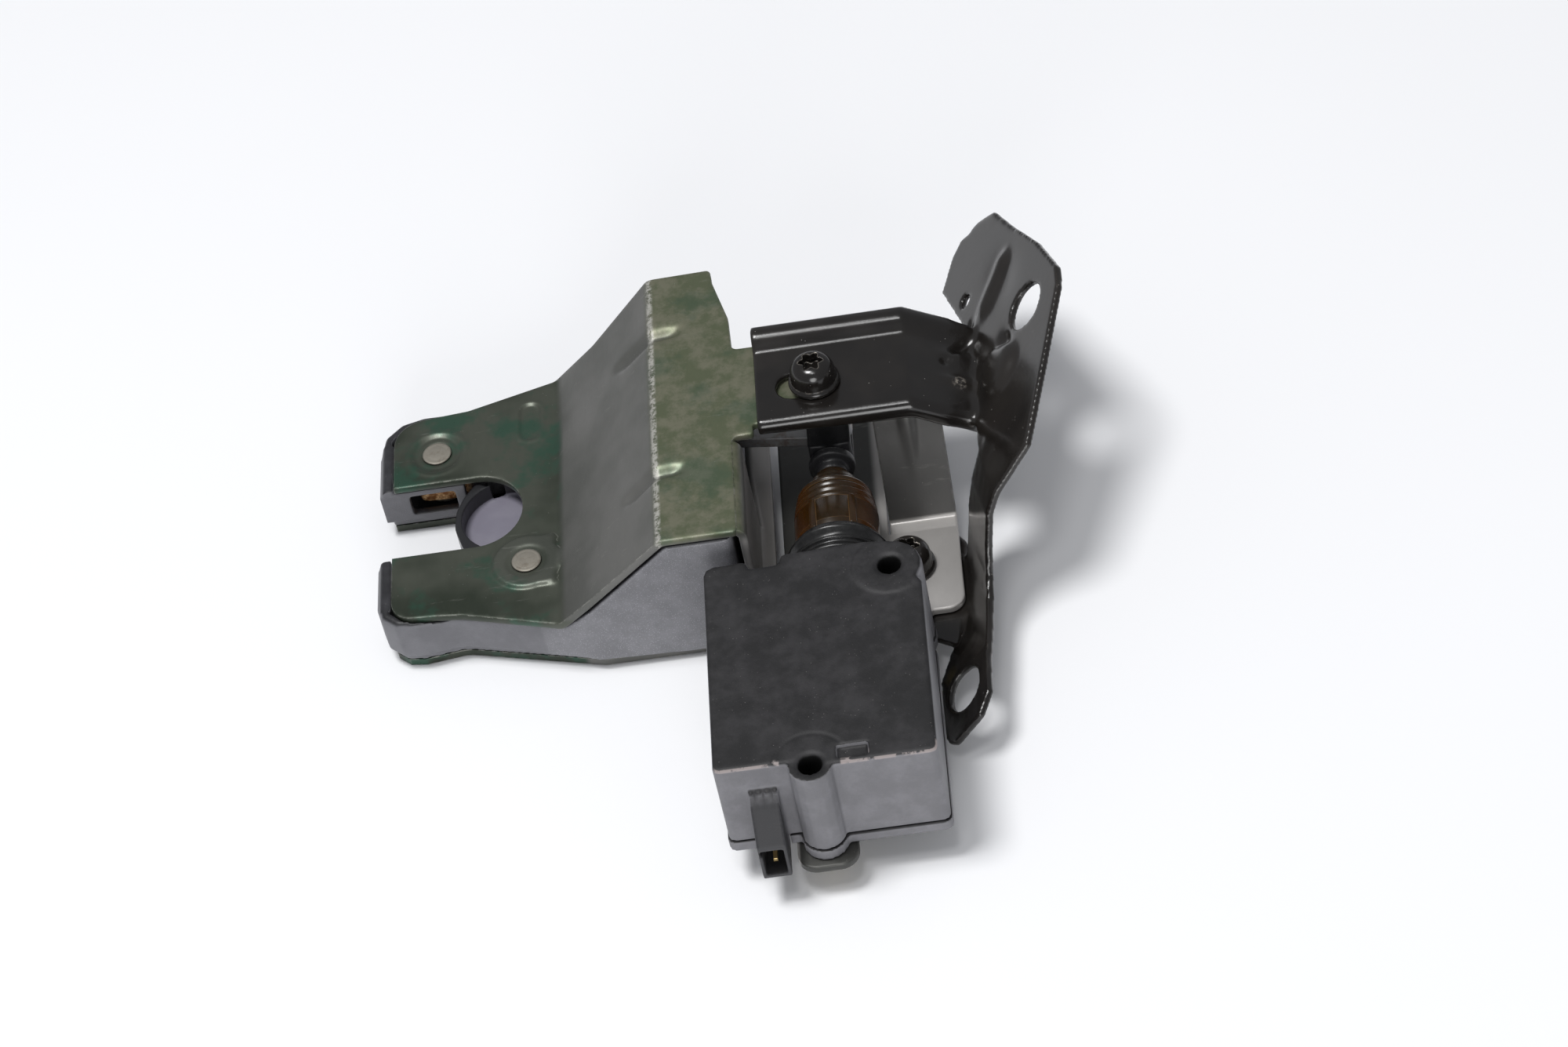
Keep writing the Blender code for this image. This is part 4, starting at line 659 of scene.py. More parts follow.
def soft_places(points):
    """1 in the wide bends of the valley and the foot, and up to 0.5 on the pressed relief."""
    valley, _ = along_line(points[:, [0, 2]], VALLEY, (VALLEY[0], VALLEY[1] + 0.1))
    beside = smooth_step(points[:, 1], 3, 8) * (1 - smooth_step(points[:, 1], 41, 44))
    fold, _ = along_line(points[:, :2], (105.2, 0.0), (102.6, -32.0))
    foot = (1 - smooth_step(fold, 1.5, 4.0)) * (1 - smooth_step(points[:, 2], 14, 20))
    slope, north, _ = on_flange(points)
    relief = smooth_step(slope, 2, 5) * (1 - smooth_step(slope, 20, 24)) * smooth_step(north, 4, 8)
    relief = relief * (1 - smooth_step(np.hypot(slope - 22.5, north - 28.4), 9, 6.5))
    return np.maximum(np.maximum((1 - smooth_step(valley, 4, 8)) * beside, foot), relief * 0.5)


flange = on_flange(points_of(frame["nodes"]["mounting_bracket"]))[0]
print("the flange climbs", round(float(flange.max()), 1), "mm up its slope")

# %% [markdown]
# ## The bracket's skin
#
# The solid already has the arm, the flange and the lips. What it lacks is soft: an eye sunk beside the
# swell, a dent below the ridge, two gussets, and the crease in which the lip runs out. Each is a bell
# curve that pushes the points of the skin, and two light rounds of smoothing blend them in.

# %% Bracket
def fine_bracket():
    made = skin_of("mounting_bracket", "bracket_skin", 0.45, 4)
    eased(made, soft_places, 26)
    points = points_of(made)
    slope, north, off = on_flange(points)

    # On the flange, an eye sunk beside the swell and a shallow dent below the ridge.
    up = np.array([-sin(FLANGE_TILT), 0, cos(FLANGE_TILT)])
    near = smooth_step(off, -8, -5) * (1 - smooth_step(off, 6, 9))
    eye = bell((slope, 13.5, 2.2), (north, 24.0, 3.2))
    dent = bell((slope, 15.0, 5.0), (north, 46.0, 7.0))
    points += (near * (-1.1 * eye - 0.5 * dent))[:, None] * up

    # Two gussets over the valley, and the crease in which the north lip runs out.
    for y, width, height in ((27.5, 2.4, 1.6), (20.0, 1.6, 1.0)):
        gusset = bell((points[:, 0], 108.5, 3.4), (points[:, 1], y, width))
        points[:, 2] += gusset * smooth_step(points[:, 2], 24, 28) * height
    crease = np.min([along_line(points, start, end)[0] for start, end in zip(LIP_CREASE, LIP_CREASE[1:])], 0)
    points[:, 2] -= bell((crease, 0, 1.1))

    move_points(made, points)
    eased(made, lambda p: np.full(len(p), 0.5), 2)
    return place(thinned(made, 0.55), "black_steel", "mounting_bracket", sharp=60)


fine_bracket()

# %% [markdown]
# ## The lock plate
#
# The plate is 2 mm steel, pressed in one blow: two prongs, a ramp, a raised section and a strip. Seen
# from above, it is one outline with a few holes, and everything else is height. So the outline is
# filled with triangles in plan, by Delaunay triangulation with small triangles where the pressing has
# detail, and each point is then lifted to the height that the folds and the embossing give it. This
# keeps every dish and rib crisp, which a remeshed skin of this size could not.

# %% Outlines
def arc(centre, radius, start, end, steps):
    angles = [radians(start + (end - start) * i / steps) for i in range(steps + 1)]
    return [(centre[0] + radius * cos(a), centre[1] + radius * sin(a)) for a in angles]


def fillet(before, corner, after, radius, steps):
    """Points of the arc that rounds one corner."""
    here = Vector(corner)
    back, on = Vector(before) - here, Vector(after) - here
    angle = back.angle(on)
    if angle > radians(179.0):
        return [tuple(here)]
    cut = min(radius / tan(angle / 2), back.length * 0.49, on.length * 0.49)
    radius = cut * tan(angle / 2)
    start, end = here + back.normalized() * cut, here + on.normalized() * cut
    middle = here + (back.normalized() + on.normalized()).normalized() * (radius / sin(angle / 2))
    first = atan2(start.y - middle.y, start.x - middle.x)
    turn = (atan2(end.y - middle.y, end.x - middle.x) - first + pi) % (2 * pi) - pi
    angles = [first + turn * i / steps for i in range(steps + 1)]
    return [(middle.x + radius * cos(a), middle.y + radius * sin(a)) for a in angles]


def rounded(corners, steps=7, closed=True):
    """An outline from corners (x, y) or (x, y, radius)."""
    points = []
    for i, corner in enumerate(corners):
        if len(corner) == 3 and (closed or 0 < i < len(corners) - 1):
            following = corners[(i + 1) % len(corners)]
            points += fillet(corners[i - 1][:2], corner[:2], following[:2], corner[2], steps)
        else:
            points.append(tuple(corner[:2]))
    return points


def evenly(outline, spacing, closed=True):
    """The outline with points added, so that none are further apart than the spacing."""
    points = []
    for here, after in zip(outline, outline[1:] + outline[:1] if closed else outline[1:]):
        here, after = np.array(here), np.array(after)
        count = max(int(np.ceil(np.linalg.norm(after - here) / spacing)), 1)
        points += [here + (after - here) * i / count for i in range(count)]
    return np.array(points if closed else points + [np.array(outline[-1])])


def outward(outline):
    """Directions square to a closed line, pointing right of its way round, stretched at corners."""
    ways = np.roll(outline, -1, 0) - outline
    ways /= np.linalg.norm(ways, axis=1)[:, None]
    both = ways + np.roll(ways, 1, 0)
    both /= np.linalg.norm(both, axis=1)[:, None]
    side = np.stack([both[:, 1], -both[:, 0]], 1)
    square = np.stack([ways[:, 1], -ways[:, 0]], 1)
    return side / np.maximum((side * square).sum(1), 0.6)[:, None]


elbow = rounded([(0, 0), (9, 0, 2), (9, 9)], closed=False)
print("a line with one rounded corner has", len(elbow), "points")

# %% [markdown]
# ## Height of the plate
#
# The sheet has one fold line along its length: low over the prongs, up the ramp, level over the raised
# section. On top of that come the marks of the press. There is a raised pad round the catch's rivet,
# a sunk dish round the pawl's, an oval dimple, and two gussets that sink into the upper bend. Each is a
# small formula of the place in plan, and they are added up.

# %% Height and outline of the plate
MOUTH_SOUTH, MOUTH_NORTH, MOUTH_END = 7.5, 30.6, -1.0
CATCH, PAWL = (0.0, 0.0), (-22.2, 40.7)
GUSSETS = (((26.6, 44.6), (41.5, 46.4)), ((27.4, -1.2), (41.5, 0.4)))


def fold_height(x, lift):
    """Height of a surface that lies so far above the middle of the folded sheet."""
    line = np.array(rounded([(-60, 16), (8, 16, 3), (35.5, 40, 2.2), (130, 40)], 12, closed=False))
    way = np.gradient(line, axis=0)
    way /= np.linalg.norm(way, axis=1)[:, None]
    raised = line + np.stack([-way[:, 1], way[:, 0]], 1) * lift
    return np.interp(x, raised[:, 0], raised[:, 1])


def rib(points, start, end, width):
    """1 along the middle of a straight rib, falling to 0 at its sides and ends."""
    far, share = along_line(points, start, end)
    return bell((far, 0, width)) * smooth_step(share, -0.25, 0.2) * (1 - smooth_step(share, 0.8, 1.25))


def embossing(points):
    """What the press raises or sinks, in plan."""
    x, y = points.T
    from_catch, from_pawl = np.hypot(x, y), np.hypot(x - PAWL[0], y - PAWL[1])
    pad = np.minimum(from_catch - 8.6, np.maximum(np.abs(x - 3.1) - 4.1, np.abs(y) - 8.2))
    height = 0.75 * (1 - smooth_step(pad, -0.9, 0.3)) - 0.3 * (1 - smooth_step(from_catch, 4.4, 5.6))
    height -= 0.45 * (1 - smooth_step(from_pawl, 5.2, 6.6))
    height += 0.25 * bell((from_pawl, 7.2, 0.8)) + 0.15 * bell((from_pawl, 4.4, 0.4))
    oval = np.maximum(np.hypot(x - 1.1, np.maximum(np.abs(y - 47.1) - 3.6, 0)) - 2.0, 0)
    height -= 0.4 * (1 - smooth_step(oval, 0, 0.9)) - 0.15 * bell((oval, 1.2, 0.5))
    for start, end in GUSSETS:
        height -= 1.5 * rib(points, start, end, 1.7)
    return height


def plate_outline():
    corners = [(-33, MOUTH_SOUTH, 2.5), (-33, -12.6, 6.5), (-22, -13.3, 5), (-16, -14, 6), (8, -21.4, 2),
               (16, -22, 2), (53.6, -22, 1), (53.6, 8.5, 2), (58.8, 8.5, 0.8), (58.8, 11.6, 0.8),
               (86.1, 11.6, 0.8), (86.1, 16.8, 0.8), (96.4, 16.8), (96.4, 37), (54.8, 37.6, 1.5),
               (54.3, 48.6, 3), (50.9, 61.6, 3), (50.5, 66.2, 1.2), (34.5, 65.8, 2.5), (19, 60.6, 6),
               (8, 60.1, 3), (-14.4, 53.9, 6), (-33, 52.4, 8), (-33, MOUTH_NORTH, 2.5)]
    half = (MOUTH_NORTH - MOUTH_SOUTH) / 2
    return rounded(corners) + arc((MOUTH_END - half, MOUTH_SOUTH + half), half, 90, -90, 30)


print("plate outline has", len(plate_outline()), "points")

# %% [markdown]
# ## Triangles in plan
#
# A regular lattice over the whole plate would need its finest spacing everywhere. So the lattice is
# coarse, and finer patches take its place over each dish, gusset and bend. The outline's own points go
# in as well, and Delaunay triangulation joins them all without slivers.

# %% Triangles in plan
FINE_PATCHES = (((-10, -10), (9, 10), 0.45), ((-31, 32), (-13, 50), 0.45), ((-3, 39), (6, 55), 0.5),
                ((23, 39), (45, 51), 0.55), ((23, -7), (45, 6), 0.55), ((32, -23), (38, 67), 0.7),
                ((5, -23), (11, 62), 0.9))


def inside(points, outline, margin):
    """Which points lie inside an outline, further from it than the margin."""
    start, end = outline, np.roll(outline, -1, 0)
    within = np.zeros(len(points), bool)
    nearest = np.full(len(points), 1e9)
    for (ax, ay), (bx, by) in zip(start, end):
        crosses = (ay > points[:, 1]) != (by > points[:, 1])
        if by != ay:
            within ^= crosses & (points[:, 0] < (bx - ax) * (points[:, 1] - ay) / (by - ay) + ax)
        nearest = np.minimum(nearest, along_line(points, (ax, ay), (bx, by))[0])
    return within & (nearest > margin)


def lattice(low, high, spacing):
    xs, ys = np.arange(low[0], high[0], spacing), np.arange(low[1], high[1], spacing * 0.87)
    x, y = np.meshgrid(xs, ys)
    x[1::2] += spacing / 2
    return np.stack([x.ravel(), y.ravel()], 1)


def crowded(outline, holes):
    """Points for the inside of the plate, close together where it has detail."""
    points = lattice((-34, -23), (105, 67), 1.4)
    for low, high, spacing in FINE_PATCHES:
        keep = ((points < low) | (points > high)).any(1)
        points = np.concatenate([points[keep], lattice(low, high, spacing)])
    points = points[inside(points, outline, 0.35)]
    for centre, radius in holes:
        points = points[np.hypot(*(points - centre).T) > radius + 0.4]
    return points


def filled(loops, spots):
    """Triangles between closed loops and scattered points; the loops' points come first."""
    points = np.concatenate([*loops, spots])
    borders, start = [], 0
    for loop in loops:
        borders.append(list(range(start, start + len(loop))))
        start += len(loop)
    made = delaunay_2d_cdt([Vector(p) for p in points], [], borders, 1, 1e-5)
    home = [min(origin) for origin in made[3]]
    return points, [[home[i] for i in face] for face in made[2]]


print("a lattice over 10 mm has", len(lattice((0, 0), (10, 10), 1.4)), "points")

# %% [markdown]
# ## The pressed sheet
#
# Two copies of the triangles, lifted to the upper and the lower face of the sheet, make its skins. Five
# strips of faces round every rim join them, in a small arc, as a sheared edge is after tumbling. The
# winding of the triangles decides which side is out, so it is set one by one and checked at the end.

# %% Pressed sheet
ROUND = 0.35
PLATE_HOLES = [(CATCH, 3.5), (PAWL, 3.5), ((74.3, 20.4), 3.3)]


def winding(plan, face):
    """Twice the area of a triangle, below 0 when it runs clockwise."""
    (ax, ay), (bx, by), (cx, cy) = plan[list(face)]
    return (bx - ax) * (cy - ay) - (by - ay) * (cx - ax)


def facing_out(mesh):
    """Turn every face outward, and count the edges that don't close."""
    bm = bmesh.new()
    bm.from_mesh(mesh)
    bmesh.ops.recalc_face_normals(bm, faces=bm.faces)
    loose = sum(not edge.is_manifold for edge in bm.edges)
    bm.to_mesh(mesh)
    bm.free()
    return loose


def strips(rings):
    """Faces that join every ring of points to the next."""
    return [(one[i - 1], one[i], two[i], two[i - 1]) for one, two in zip(rings, rings[1:])
            for i in range(len(one))]


def meshed(name, points, faces):
    """A mesh from arrays of points in millimetres and a list of faces."""
    mesh = bpy.data.meshes.new(name)
    mesh.from_pydata((np.concatenate(points) * MM).tolist(), [], faces)
    return mesh


def plate_mesh():
    """The pressed sheet: its upper and lower skins, and the rounded rims between them."""
    outline = evenly(plate_outline(), 0.8)
    holes = PLATE_HOLES
    rims = [outline] + [np.array(arc(c, r, 0, 360, 40)[:-1]) for c, r in holes]
    sides = [-outward(outline)] + [rim - np.array(c) for rim, (c, r) in zip(rims[1:], holes)]
    area = (outline[:, 0] * np.roll(outline[:, 1], -1) - outline[:, 1] * np.roll(outline[:, 0], -1)).sum()
    sides[0] = sides[0] * (1 if area > 0 else -1)
    sides[1:] = [side / np.linalg.norm(side, axis=1)[:, None] for side in sides[1:]]
    loops = [rim + side * ROUND for rim, side in zip(rims, sides)]
    plan, faces = filled(loops, crowded(outline, holes))
    middles = plan[np.array(faces)].mean(1)
    clear = np.all([np.hypot(*(middles - c).T) > r + ROUND for c, r in holes], 0)
    faces = [face for face, good in zip(faces, clear) if good]

    def top(flat):
        return fold_height(flat[:, 0], 1) + embossing(flat)

    def under(flat):
        return fold_height(flat[:, 0], -1) + embossing(flat) * 0.9

    points = [np.column_stack([plan, top(plan)]), np.column_stack([plan, under(plan)])]
    count = len(plan)
    turns = [face if winding(plan, face) > 0 else face[::-1] for face in faces]
    skins = turns + [[i + count for i in face[::-1]] for face in turns]
    start, used = 0, 2 * count
    for rim, side, loop in zip(rims, sides, loops):
        size = len(loop)
        rings = [list(range(start, start + size))]
        for level, (z_of, sign) in enumerate(((top, -1), (top, -1), (under, 1), (under, 1))):
            lean = radians((45, 90, 90, 45)[level])
            flat = loop - side * ROUND * sin(lean)
            height = z_of(loop) + sign * ROUND * (1 - cos(lean))
            points.append(np.column_stack([flat, height]))
            rings.append(list(range(used, used + size)))
            used += size
        rings.append([i + count for i in rings[0]])
        skins += strips(rings)
        start += size
    return meshed("plate_skin", points, skins)


sheet = plate_mesh()
print("open edges on the sheet:", facing_out(sheet))

# %% [markdown]
# ## Web, tab and shelf
#
# The web, the tab and the shelf stand under the sheet, where a plan can't reach. The web and the tab
# are strips bent about one direction, so each is a grid of points along its bent section, thickened to
# a closed sheet with a rounded rim. The shelf is flat, so its outline is just drawn up by 2 mm.

# %% A sheet from a grid
def pressing(name, grid, thickness):
    """A closed sheet from a grid of points on its middle, its rim rounded."""
    along, across = np.gradient(grid, axis=0), np.gradient(grid, axis=1)
    normal = np.cross(along, across)
    normal /= np.linalg.norm(normal, axis=2)[:, :, None]
    rows, columns = grid.shape[:2]
    border = [(i, 0) for i in range(rows)] + [(rows - 1, j) for j in range(1, columns)]
    border += [(i, columns - 1) for i in range(rows - 2, -1, -1)]
    border += [(0, j) for j in range(columns - 2, 0, -1)]
    at = tuple(np.array(border).T)
    inner = (np.clip(at[0], 1, rows - 2), np.clip(at[1], 1, columns - 2))
    away = grid[at] - grid[inner]
    away /= np.linalg.norm(away, axis=1)[:, None]
    upper, lower = grid + normal * thickness / 2, grid - normal * thickness / 2
    upper[at] -= away * ROUND
    lower[at] -= away * ROUND
    parts = [upper.reshape(-1, 3), lower.reshape(-1, 3)]
    flat = [i * columns + j for i, j in border]
    rings = [flat]
    used = 2 * rows * columns
    for lean, sign in ((45, 1), (90, 1), (90, -1), (45, -1)):
        out = ROUND * (sin(radians(lean)) - 1)
        rise = thickness / 2 - ROUND * (1 - cos(radians(lean)))
        parts.append(grid[at] + away * out + normal[at] * rise * sign)
        rings.append(list(range(used, used + len(border))))
        used += len(border)
    rings.append([i + rows * columns for i in flat])
    faces = []
    for i in range(rows - 1):
        for j in range(columns - 1):
            a, b = i * columns + j, (i + 1) * columns + j
            faces.append((a, b, b + 1, a + 1))
            faces.append(tuple(k + rows * columns for k in (a + 1, b + 1, b, a)))
    mesh = meshed(name, parts, faces + strips(rings))
    facing_out(mesh)
    return linked(name, mesh)


def folded_grid(path, start, end, spacing, along_x):
    """Points on a bent sheet: its section is a rounded path, drawn along X or Y from start to end."""
    line = evenly(rounded(path, 10, closed=False), spacing, closed=False)
    stops = np.linspace(start, end, int((end - start) / spacing) + 2)
    grid = np.empty((len(line), len(stops), 3))
    grid[:, :, 1 if along_x else 0] = line[:, None, 0]
    grid[:, :, 0 if along_x else 1] = stops[None, :]
    grid[:, :, 2] = line[:, None, 1]
    return grid


def tab_grid():
    """The steep tab, with a stiffening rib in its lower bend, cut off under the bracket's sloping arm."""
    grid = folded_grid([(20.4, 40), (12.4, 40, 2.5), (3.4, 9, 1.6), (-4.6, 9)], 86.7, 102.8, 0.5, True)
    x, y, z = grid[:, :, 0], grid[:, :, 1], grid[:, :, 2]
    bend = bell((x, 94.6, 1.3)) * bell((y, 11.5, 2.6))
    y -= bend * 1.2
    z += bend * 0.5
    z[:] = np.minimum(z, 39.5 - np.maximum(x - 95.2, 0) * 0.56)
    return grid


print("the tab's grid has", tab_grid().shape[:2], "points")

# %% [markdown]
# ## Drawn shapes, unions and cuts
#
# Flat parts, ribs, holes and recesses are all outlines drawn up from one height to another. The Boolean
# modifier joins them to a piece or takes them out of it. Its exact solver is slower than the others,
# but it copes with faces that lie in one plane.

# %% Drawn shapes, unions and cuts
def object_from(name, bm):
    """An object made of a bmesh, which is freed."""
    mesh = bpy.data.meshes.new(name)
    bm.to_mesh(mesh)
    bm.free()
    return linked(name, mesh)


def drawn(name, outline, low, high, bevel=0.0):
    """An outline drawn up from one height to another, its long edges rounded."""
    bm = bmesh.new()
    face = bm.faces.new([bm.verts.new((x * MM, y * MM, low * MM)) for x, y in outline])
    lifted = bmesh.ops.extrude_face_region(bm, geom=[face])["geom"]
    raised = [part for part in lifted if isinstance(part, bmesh.types.BMVert)]
    bmesh.ops.translate(bm, vec=(0, 0, (high - low) * MM), verts=raised)
    bmesh.ops.recalc_face_normals(bm, faces=bm.faces)
    made = object_from(name, bm)
    if bevel:
        ease = made.modifiers.new("bevel", "BEVEL")
        ease.width = bevel * MM
        ease.segments = 3
        ease.limit_method = "ANGLE"
        ease.angle_limit = radians(50)
        settle(made)
    return made


def combined(made, operation, *tools):
    """Join solids to a piece, or cut them out of it."""
    for tool in tools:
        step = made.modifiers.new(operation, "BOOLEAN")
        step.operation = operation
        step.solver = "EXACT"
        step.object = tool
        settle(made)
        bpy.data.objects.remove(tool, do_unlink=True)
    return made


SHELF = [(61, 40, 1.5), (61, -64), (59.5, -66), (59.5, -98.5, 4.5), (73.5, -98.5, 4.5), (73.5, -58, 6),
         (94.5, -46, 6), (94.5, -26.5, 1), (102.8, -26.5, 5), (102.8, -0.6), (86.2, -0.6), (86.2, 40, 1.5)]
print("the shelf's outline has", len(rounded(SHELF)), "points")

# %% [markdown]
# ## One plate
#
# The pieces of the plate overlap where they meet. Left like that, they would be several meshes with
# faces hidden inside one another, so Boolean unions weld them into one, as the real plate is. The shelf
# gets its three holes first, while it is still a small mesh that is quickly cut.

# %% Lock plate
WEB = [(48.6, 40), (54.6, 40, 2.5), (54.6, 9, 2.5), (59, 9)]
STEP = [(52.9, 5.5), (59, 5.5), (59, 40), (52.9, 40)]


def fine_plate():
    made = linked("plate_skin", sheet)
    web = pressing("web", folded_grid(WEB, -21.5, 7.5, 0.9, False), 2)
    tab = pressing("tab", tab_grid(), 2)
    floor = drawn("shelf", rounded(SHELF), 8, 10, 0.35)
    step = drawn("step", STEP, 8, 10, 0.3)
    for centre, radius in ((UNIT_HOLES[0], 2.7), (UNIT_HOLES[1], 2.7), ((90.7, -11.9), 3.3)):
        combined(floor, "DIFFERENCE", drawn("hole", arc(centre, radius, 0, 360, 32)[:-1], 0, 14))
    combined(made, "UNION", floor, step, web, tab)
    return place(made, "chromated_steel", "lock_plate", sharp=35)


fine_plate()

# %% [markdown]
# ## Turned pieces
#
# The cap, the boot, the rivet heads and the pan-head screws are round, so each is a profile turned
# about its axis in fine steps, as on a lathe. Their ends come from the boxes of their solids, so that
# each one stays where its solid is.

# %% Lathe
def turned(name, profile, centre, axis="Z", steps=72):
    """A profile of (radius, height) turned about a line through the centre."""
    bm = bmesh.new()
    points = [bm.verts.new((r * MM, 0, h * MM)) for r, h in profile]
    for one, two in zip(points, points[1:] + points[:1]):
        bm.edges.new((one, two))
    bmesh.ops.spin(bm, geom=bm.verts[:] + bm.edges[:], cent=(0, 0, 0), axis=(0, 0, 1), angle=2 * pi,
                   steps=steps)
    bmesh.ops.remove_doubles(bm, verts=bm.verts, dist=1e-6)
    flat = [face for face in bm.faces if face.calc_area() < 1e-14]
    bmesh.ops.delete(bm, geom=flat, context="FACES_ONLY")
    bmesh.ops.recalc_face_normals(bm, faces=bm.faces)
    made = object_from(name, bm)
    turn = Matrix.Rotation(radians(-90), 4, "X") if axis == "Y" else Matrix()
    made.data.transform(Matrix.Translation(Vector(centre) * MM) @ turn)
    return made


def box_of(node):
    points = points_of(frame["nodes"][node])
    return points.min(0), points.max(0)


def middle_of(node):
    """The upright axis of a round solid."""
    low, high = box_of(node)
    return float(low[0] + high[0]) / 2, float(low[1] + high[1]) / 2, 0


print("upper screw stands at", middle_of("bracket_screw_upper"))

# %% [markdown]
# ## Cap
#
# The amber cap is a stack of shrinking rings that tapers to a neck, with two ribs along its side. One
# profile on the lathe gives all the rings. The ribs don't go round, so each is a rounded section, drawn
# up, laid along the cap and joined on.

# %% Cap
def fine_cap():
    low, high = box_of("rod_clip")
    outer = [(8.4, low[1]), (9.8, low[1]), (10.0, low[1] + 0.3), (10.0, -15.2), (10.05, -15.1), (10.0, -15.0),
             (10.0, -8.2)]
    for radius, y in ((9.7, -7.1), (9.5, -5.0), (9.2, -3.0), (8.8, -1.0)):
        ring = ((-0.1, -0.7), (0.15, -0.4), (0.25, -0.1), (0.15, 0.2), (-0.25, 0.45), (-0.4, 0.8))
        outer += [(radius + out, y + on) for out, on in ring]
    outer += [(7.9, 0.6), (7.2, 1.3), (6.6, 2.2), (6.0, 3.4), (5.4, 4.6), (4.9, 5.3), (4.5, 5.8),
              (4.4, high[1] - 0.2), (4.2, high[1])]
    inner = [(2.9, high[1]), (2.9, 2.3), (1.0, 2.3), (1.0, -0.6), (3.3, -0.6), (3.3, -4.0), (8.4, -6.6)]
    made = turned("cap", outer + inner, (ROD[0], 0, ROD[1]), "Y", 64)
    for angle in (62, 118):
        middle = Vector((ROD[0] + 9.5 * cos(radians(angle)), 0, ROD[1] + 9.5 * sin(radians(angle))))
        section = rounded([(-0.85, -1, 0.3), (0.85, -1, 0.3), (0.85, 0.95, 0.4), (-0.85, 0.95, 0.4)], 4)
        rib = drawn("rib", section, -16.9, -7.8, 0.25)
        lay = Matrix.Rotation(radians(angle - 90), 4, "Y").inverted() @ Matrix.Rotation(radians(90), 4, "X")
        stand = Matrix.Translation((middle.x * MM, 0, middle.z * MM)) @ lay
        rib.data.transform(stand @ Matrix.Scale(-1, 4, (0, 0, 1)))
        rib.data.flip_normals()
        combined(made, "UNION", rib)
    return place(made, "amber_plastic", "rod_clip", sharp=50)


fine_cap()

# %% [markdown]
# ## Boot
#
# The boot is rubber, in two soft rolls with a thin lip between them. A sum of bell curves draws that
# profile with fewer numbers than a list of points would, and it can't come out kinked.

# %% Boot
def fine_boot():
    low, high = box_of("rubber_boot")
    ys = np.linspace(low[1], high[1], 46)
    radii = 10.9 + 1.45 * bell((ys, -19.9, 1.2)) + 0.9 * bell((ys, -22.9, 0.45))
    radii += 1.5 * bell((ys, -26.0, 1.1))
    outer = [(min(float(r), 12.45), float(y)) for r, y in zip(radii, ys)]
    made = turned("boot", outer + [(9.1, high[1]), (9.1, low[1])], (ROD[0], 0, ROD[1]), "Y", 72)
    return place(made, "boot_rubber", "rubber_boot", sharp=60)


fine_boot()

# %% [markdown]
# ## Screws
#
# A screw's head is a dome over a thin flange, with a six-lobed recess cut into it. The recess is a
# circle whose radius swings six times on the way round, drawn up and taken out of the turned head.

# %% Screws
def fine_screw(node):
    low, high = box_of(node)
    seat, end, top = high[2] - 6.8, low[2], high[2]
    centre = middle_of(node)
    shank = [(0.0, end), (2.4, end), (3.0, end + 0.7), (3.0, seat)]
    flange = [(5.9, 0), (6.1, 0.15), (6.15, 0.5), (6.05, 0.95), (5.75, 1.2), (5.5, 1.4), (5.4, 2.0)]
    dome = [(5.35, 3.4), (5.25, 4.2), (5.0, 4.9), (4.6, 5.6), (4.0, 6.2), (3.3, 6.6)]
    head = [(radius, seat + height) for radius, height in flange + dome] + [(2.6, top), (0.0, top)]
    made = turned(node + "_fine", shank + head, centre, steps=64)
    ways = [radians(a) for a in range(0, 360, 5)]
    swing = [2.5 + 0.5 * cos(6 * a) for a in ways]
    lobes = [(centre[0] + r * cos(a), centre[1] + r * sin(a)) for a, r in zip(ways, swing)]
    combined(made, "DIFFERENCE", drawn("recess", lobes, top - 2.8, top + 1))
    return place(made, "black_steel", node, sharp=40)


for screw in ("bracket_screw_upper", "bracket_screw_lower"):
    fine_screw(screw)

# %% [markdown]
# ## Tray
#
# The tray is a moulding, so it keeps the shape of its solid and only loses its knife edges. At the tips
# of the prongs it stands up to the plate, so its rim is filled there by a block, and the points of the
# skin are then rounded down outside.

# %% Tray
def fine_tray():
    tray = linked("tray", frame["nodes"]["lock_housing"].data.copy())
    for south, north in ((-8.6, 7.6), (30.4, 46.4)):
        block = [(-36.2, south), (-33.25, south), (-33.25, north), (-36.2, north)]
        combined(tray, "UNION", drawn("rim", block, 14.75, 16.15))
    made = skinned(tray, 0.5, 3)
    points = points_of(made)
    outer = smooth_step(-points[:, 0], 34.4, 37.0) ** 2 * smooth_step(points[:, 2], 12.6, 15.6)
    points[:, 2] -= 1.5 * outer
    move_points(made, points)
    return place(thinned(made, 0.45), "black_plastic", "lock_housing", sharp=45)


fine_tray()

# %% [markdown]
# ## Cover of the motor unit
#
# The cover is a moulding as well, with a faint ring round its front boss and a soft funnel at each
# screw hole. All of them are well under a millimetre deep, so they are pushed into the skin from
# above, which needs no cutting.

# %% Cover
FRONT_RING = (66.6, -91.5)


def fine_cover():
    made = skin_of("actuator_cover", "cover_skin", 0.36, 2)
    points = points_of(made)
    above = smooth_step(points[:, 2], 36.2, 37.2)
    for x, y in UNIT_HOLES:
        far = np.hypot(points[:, 0] - x, points[:, 1] - y)
        points[:, 2] -= above * 0.35 * (1 - smooth_step(far, 2.7, 3.9))
    far = np.hypot(points[:, 0] - FRONT_RING[0], points[:, 1] - FRONT_RING[1])
    points[:, 2] -= above * (0.16 * bell((far, 8.4, 0.4)) + 0.1 * (1 - smooth_step(far, 7.9, 8.5)))
    move_points(made, points)
    return place(thinned(made, 0.4), "cover_plastic", "actuator_cover", sharp=45)


fine_cover()

# %% [markdown]
# ## The small pieces
#
# The unit's base, the yoke, the catch and the pawl need no more than softer edges, so their skins are
# left as they come. The smaller the piece, the finer its skin has to be, or its corners would melt
# away.

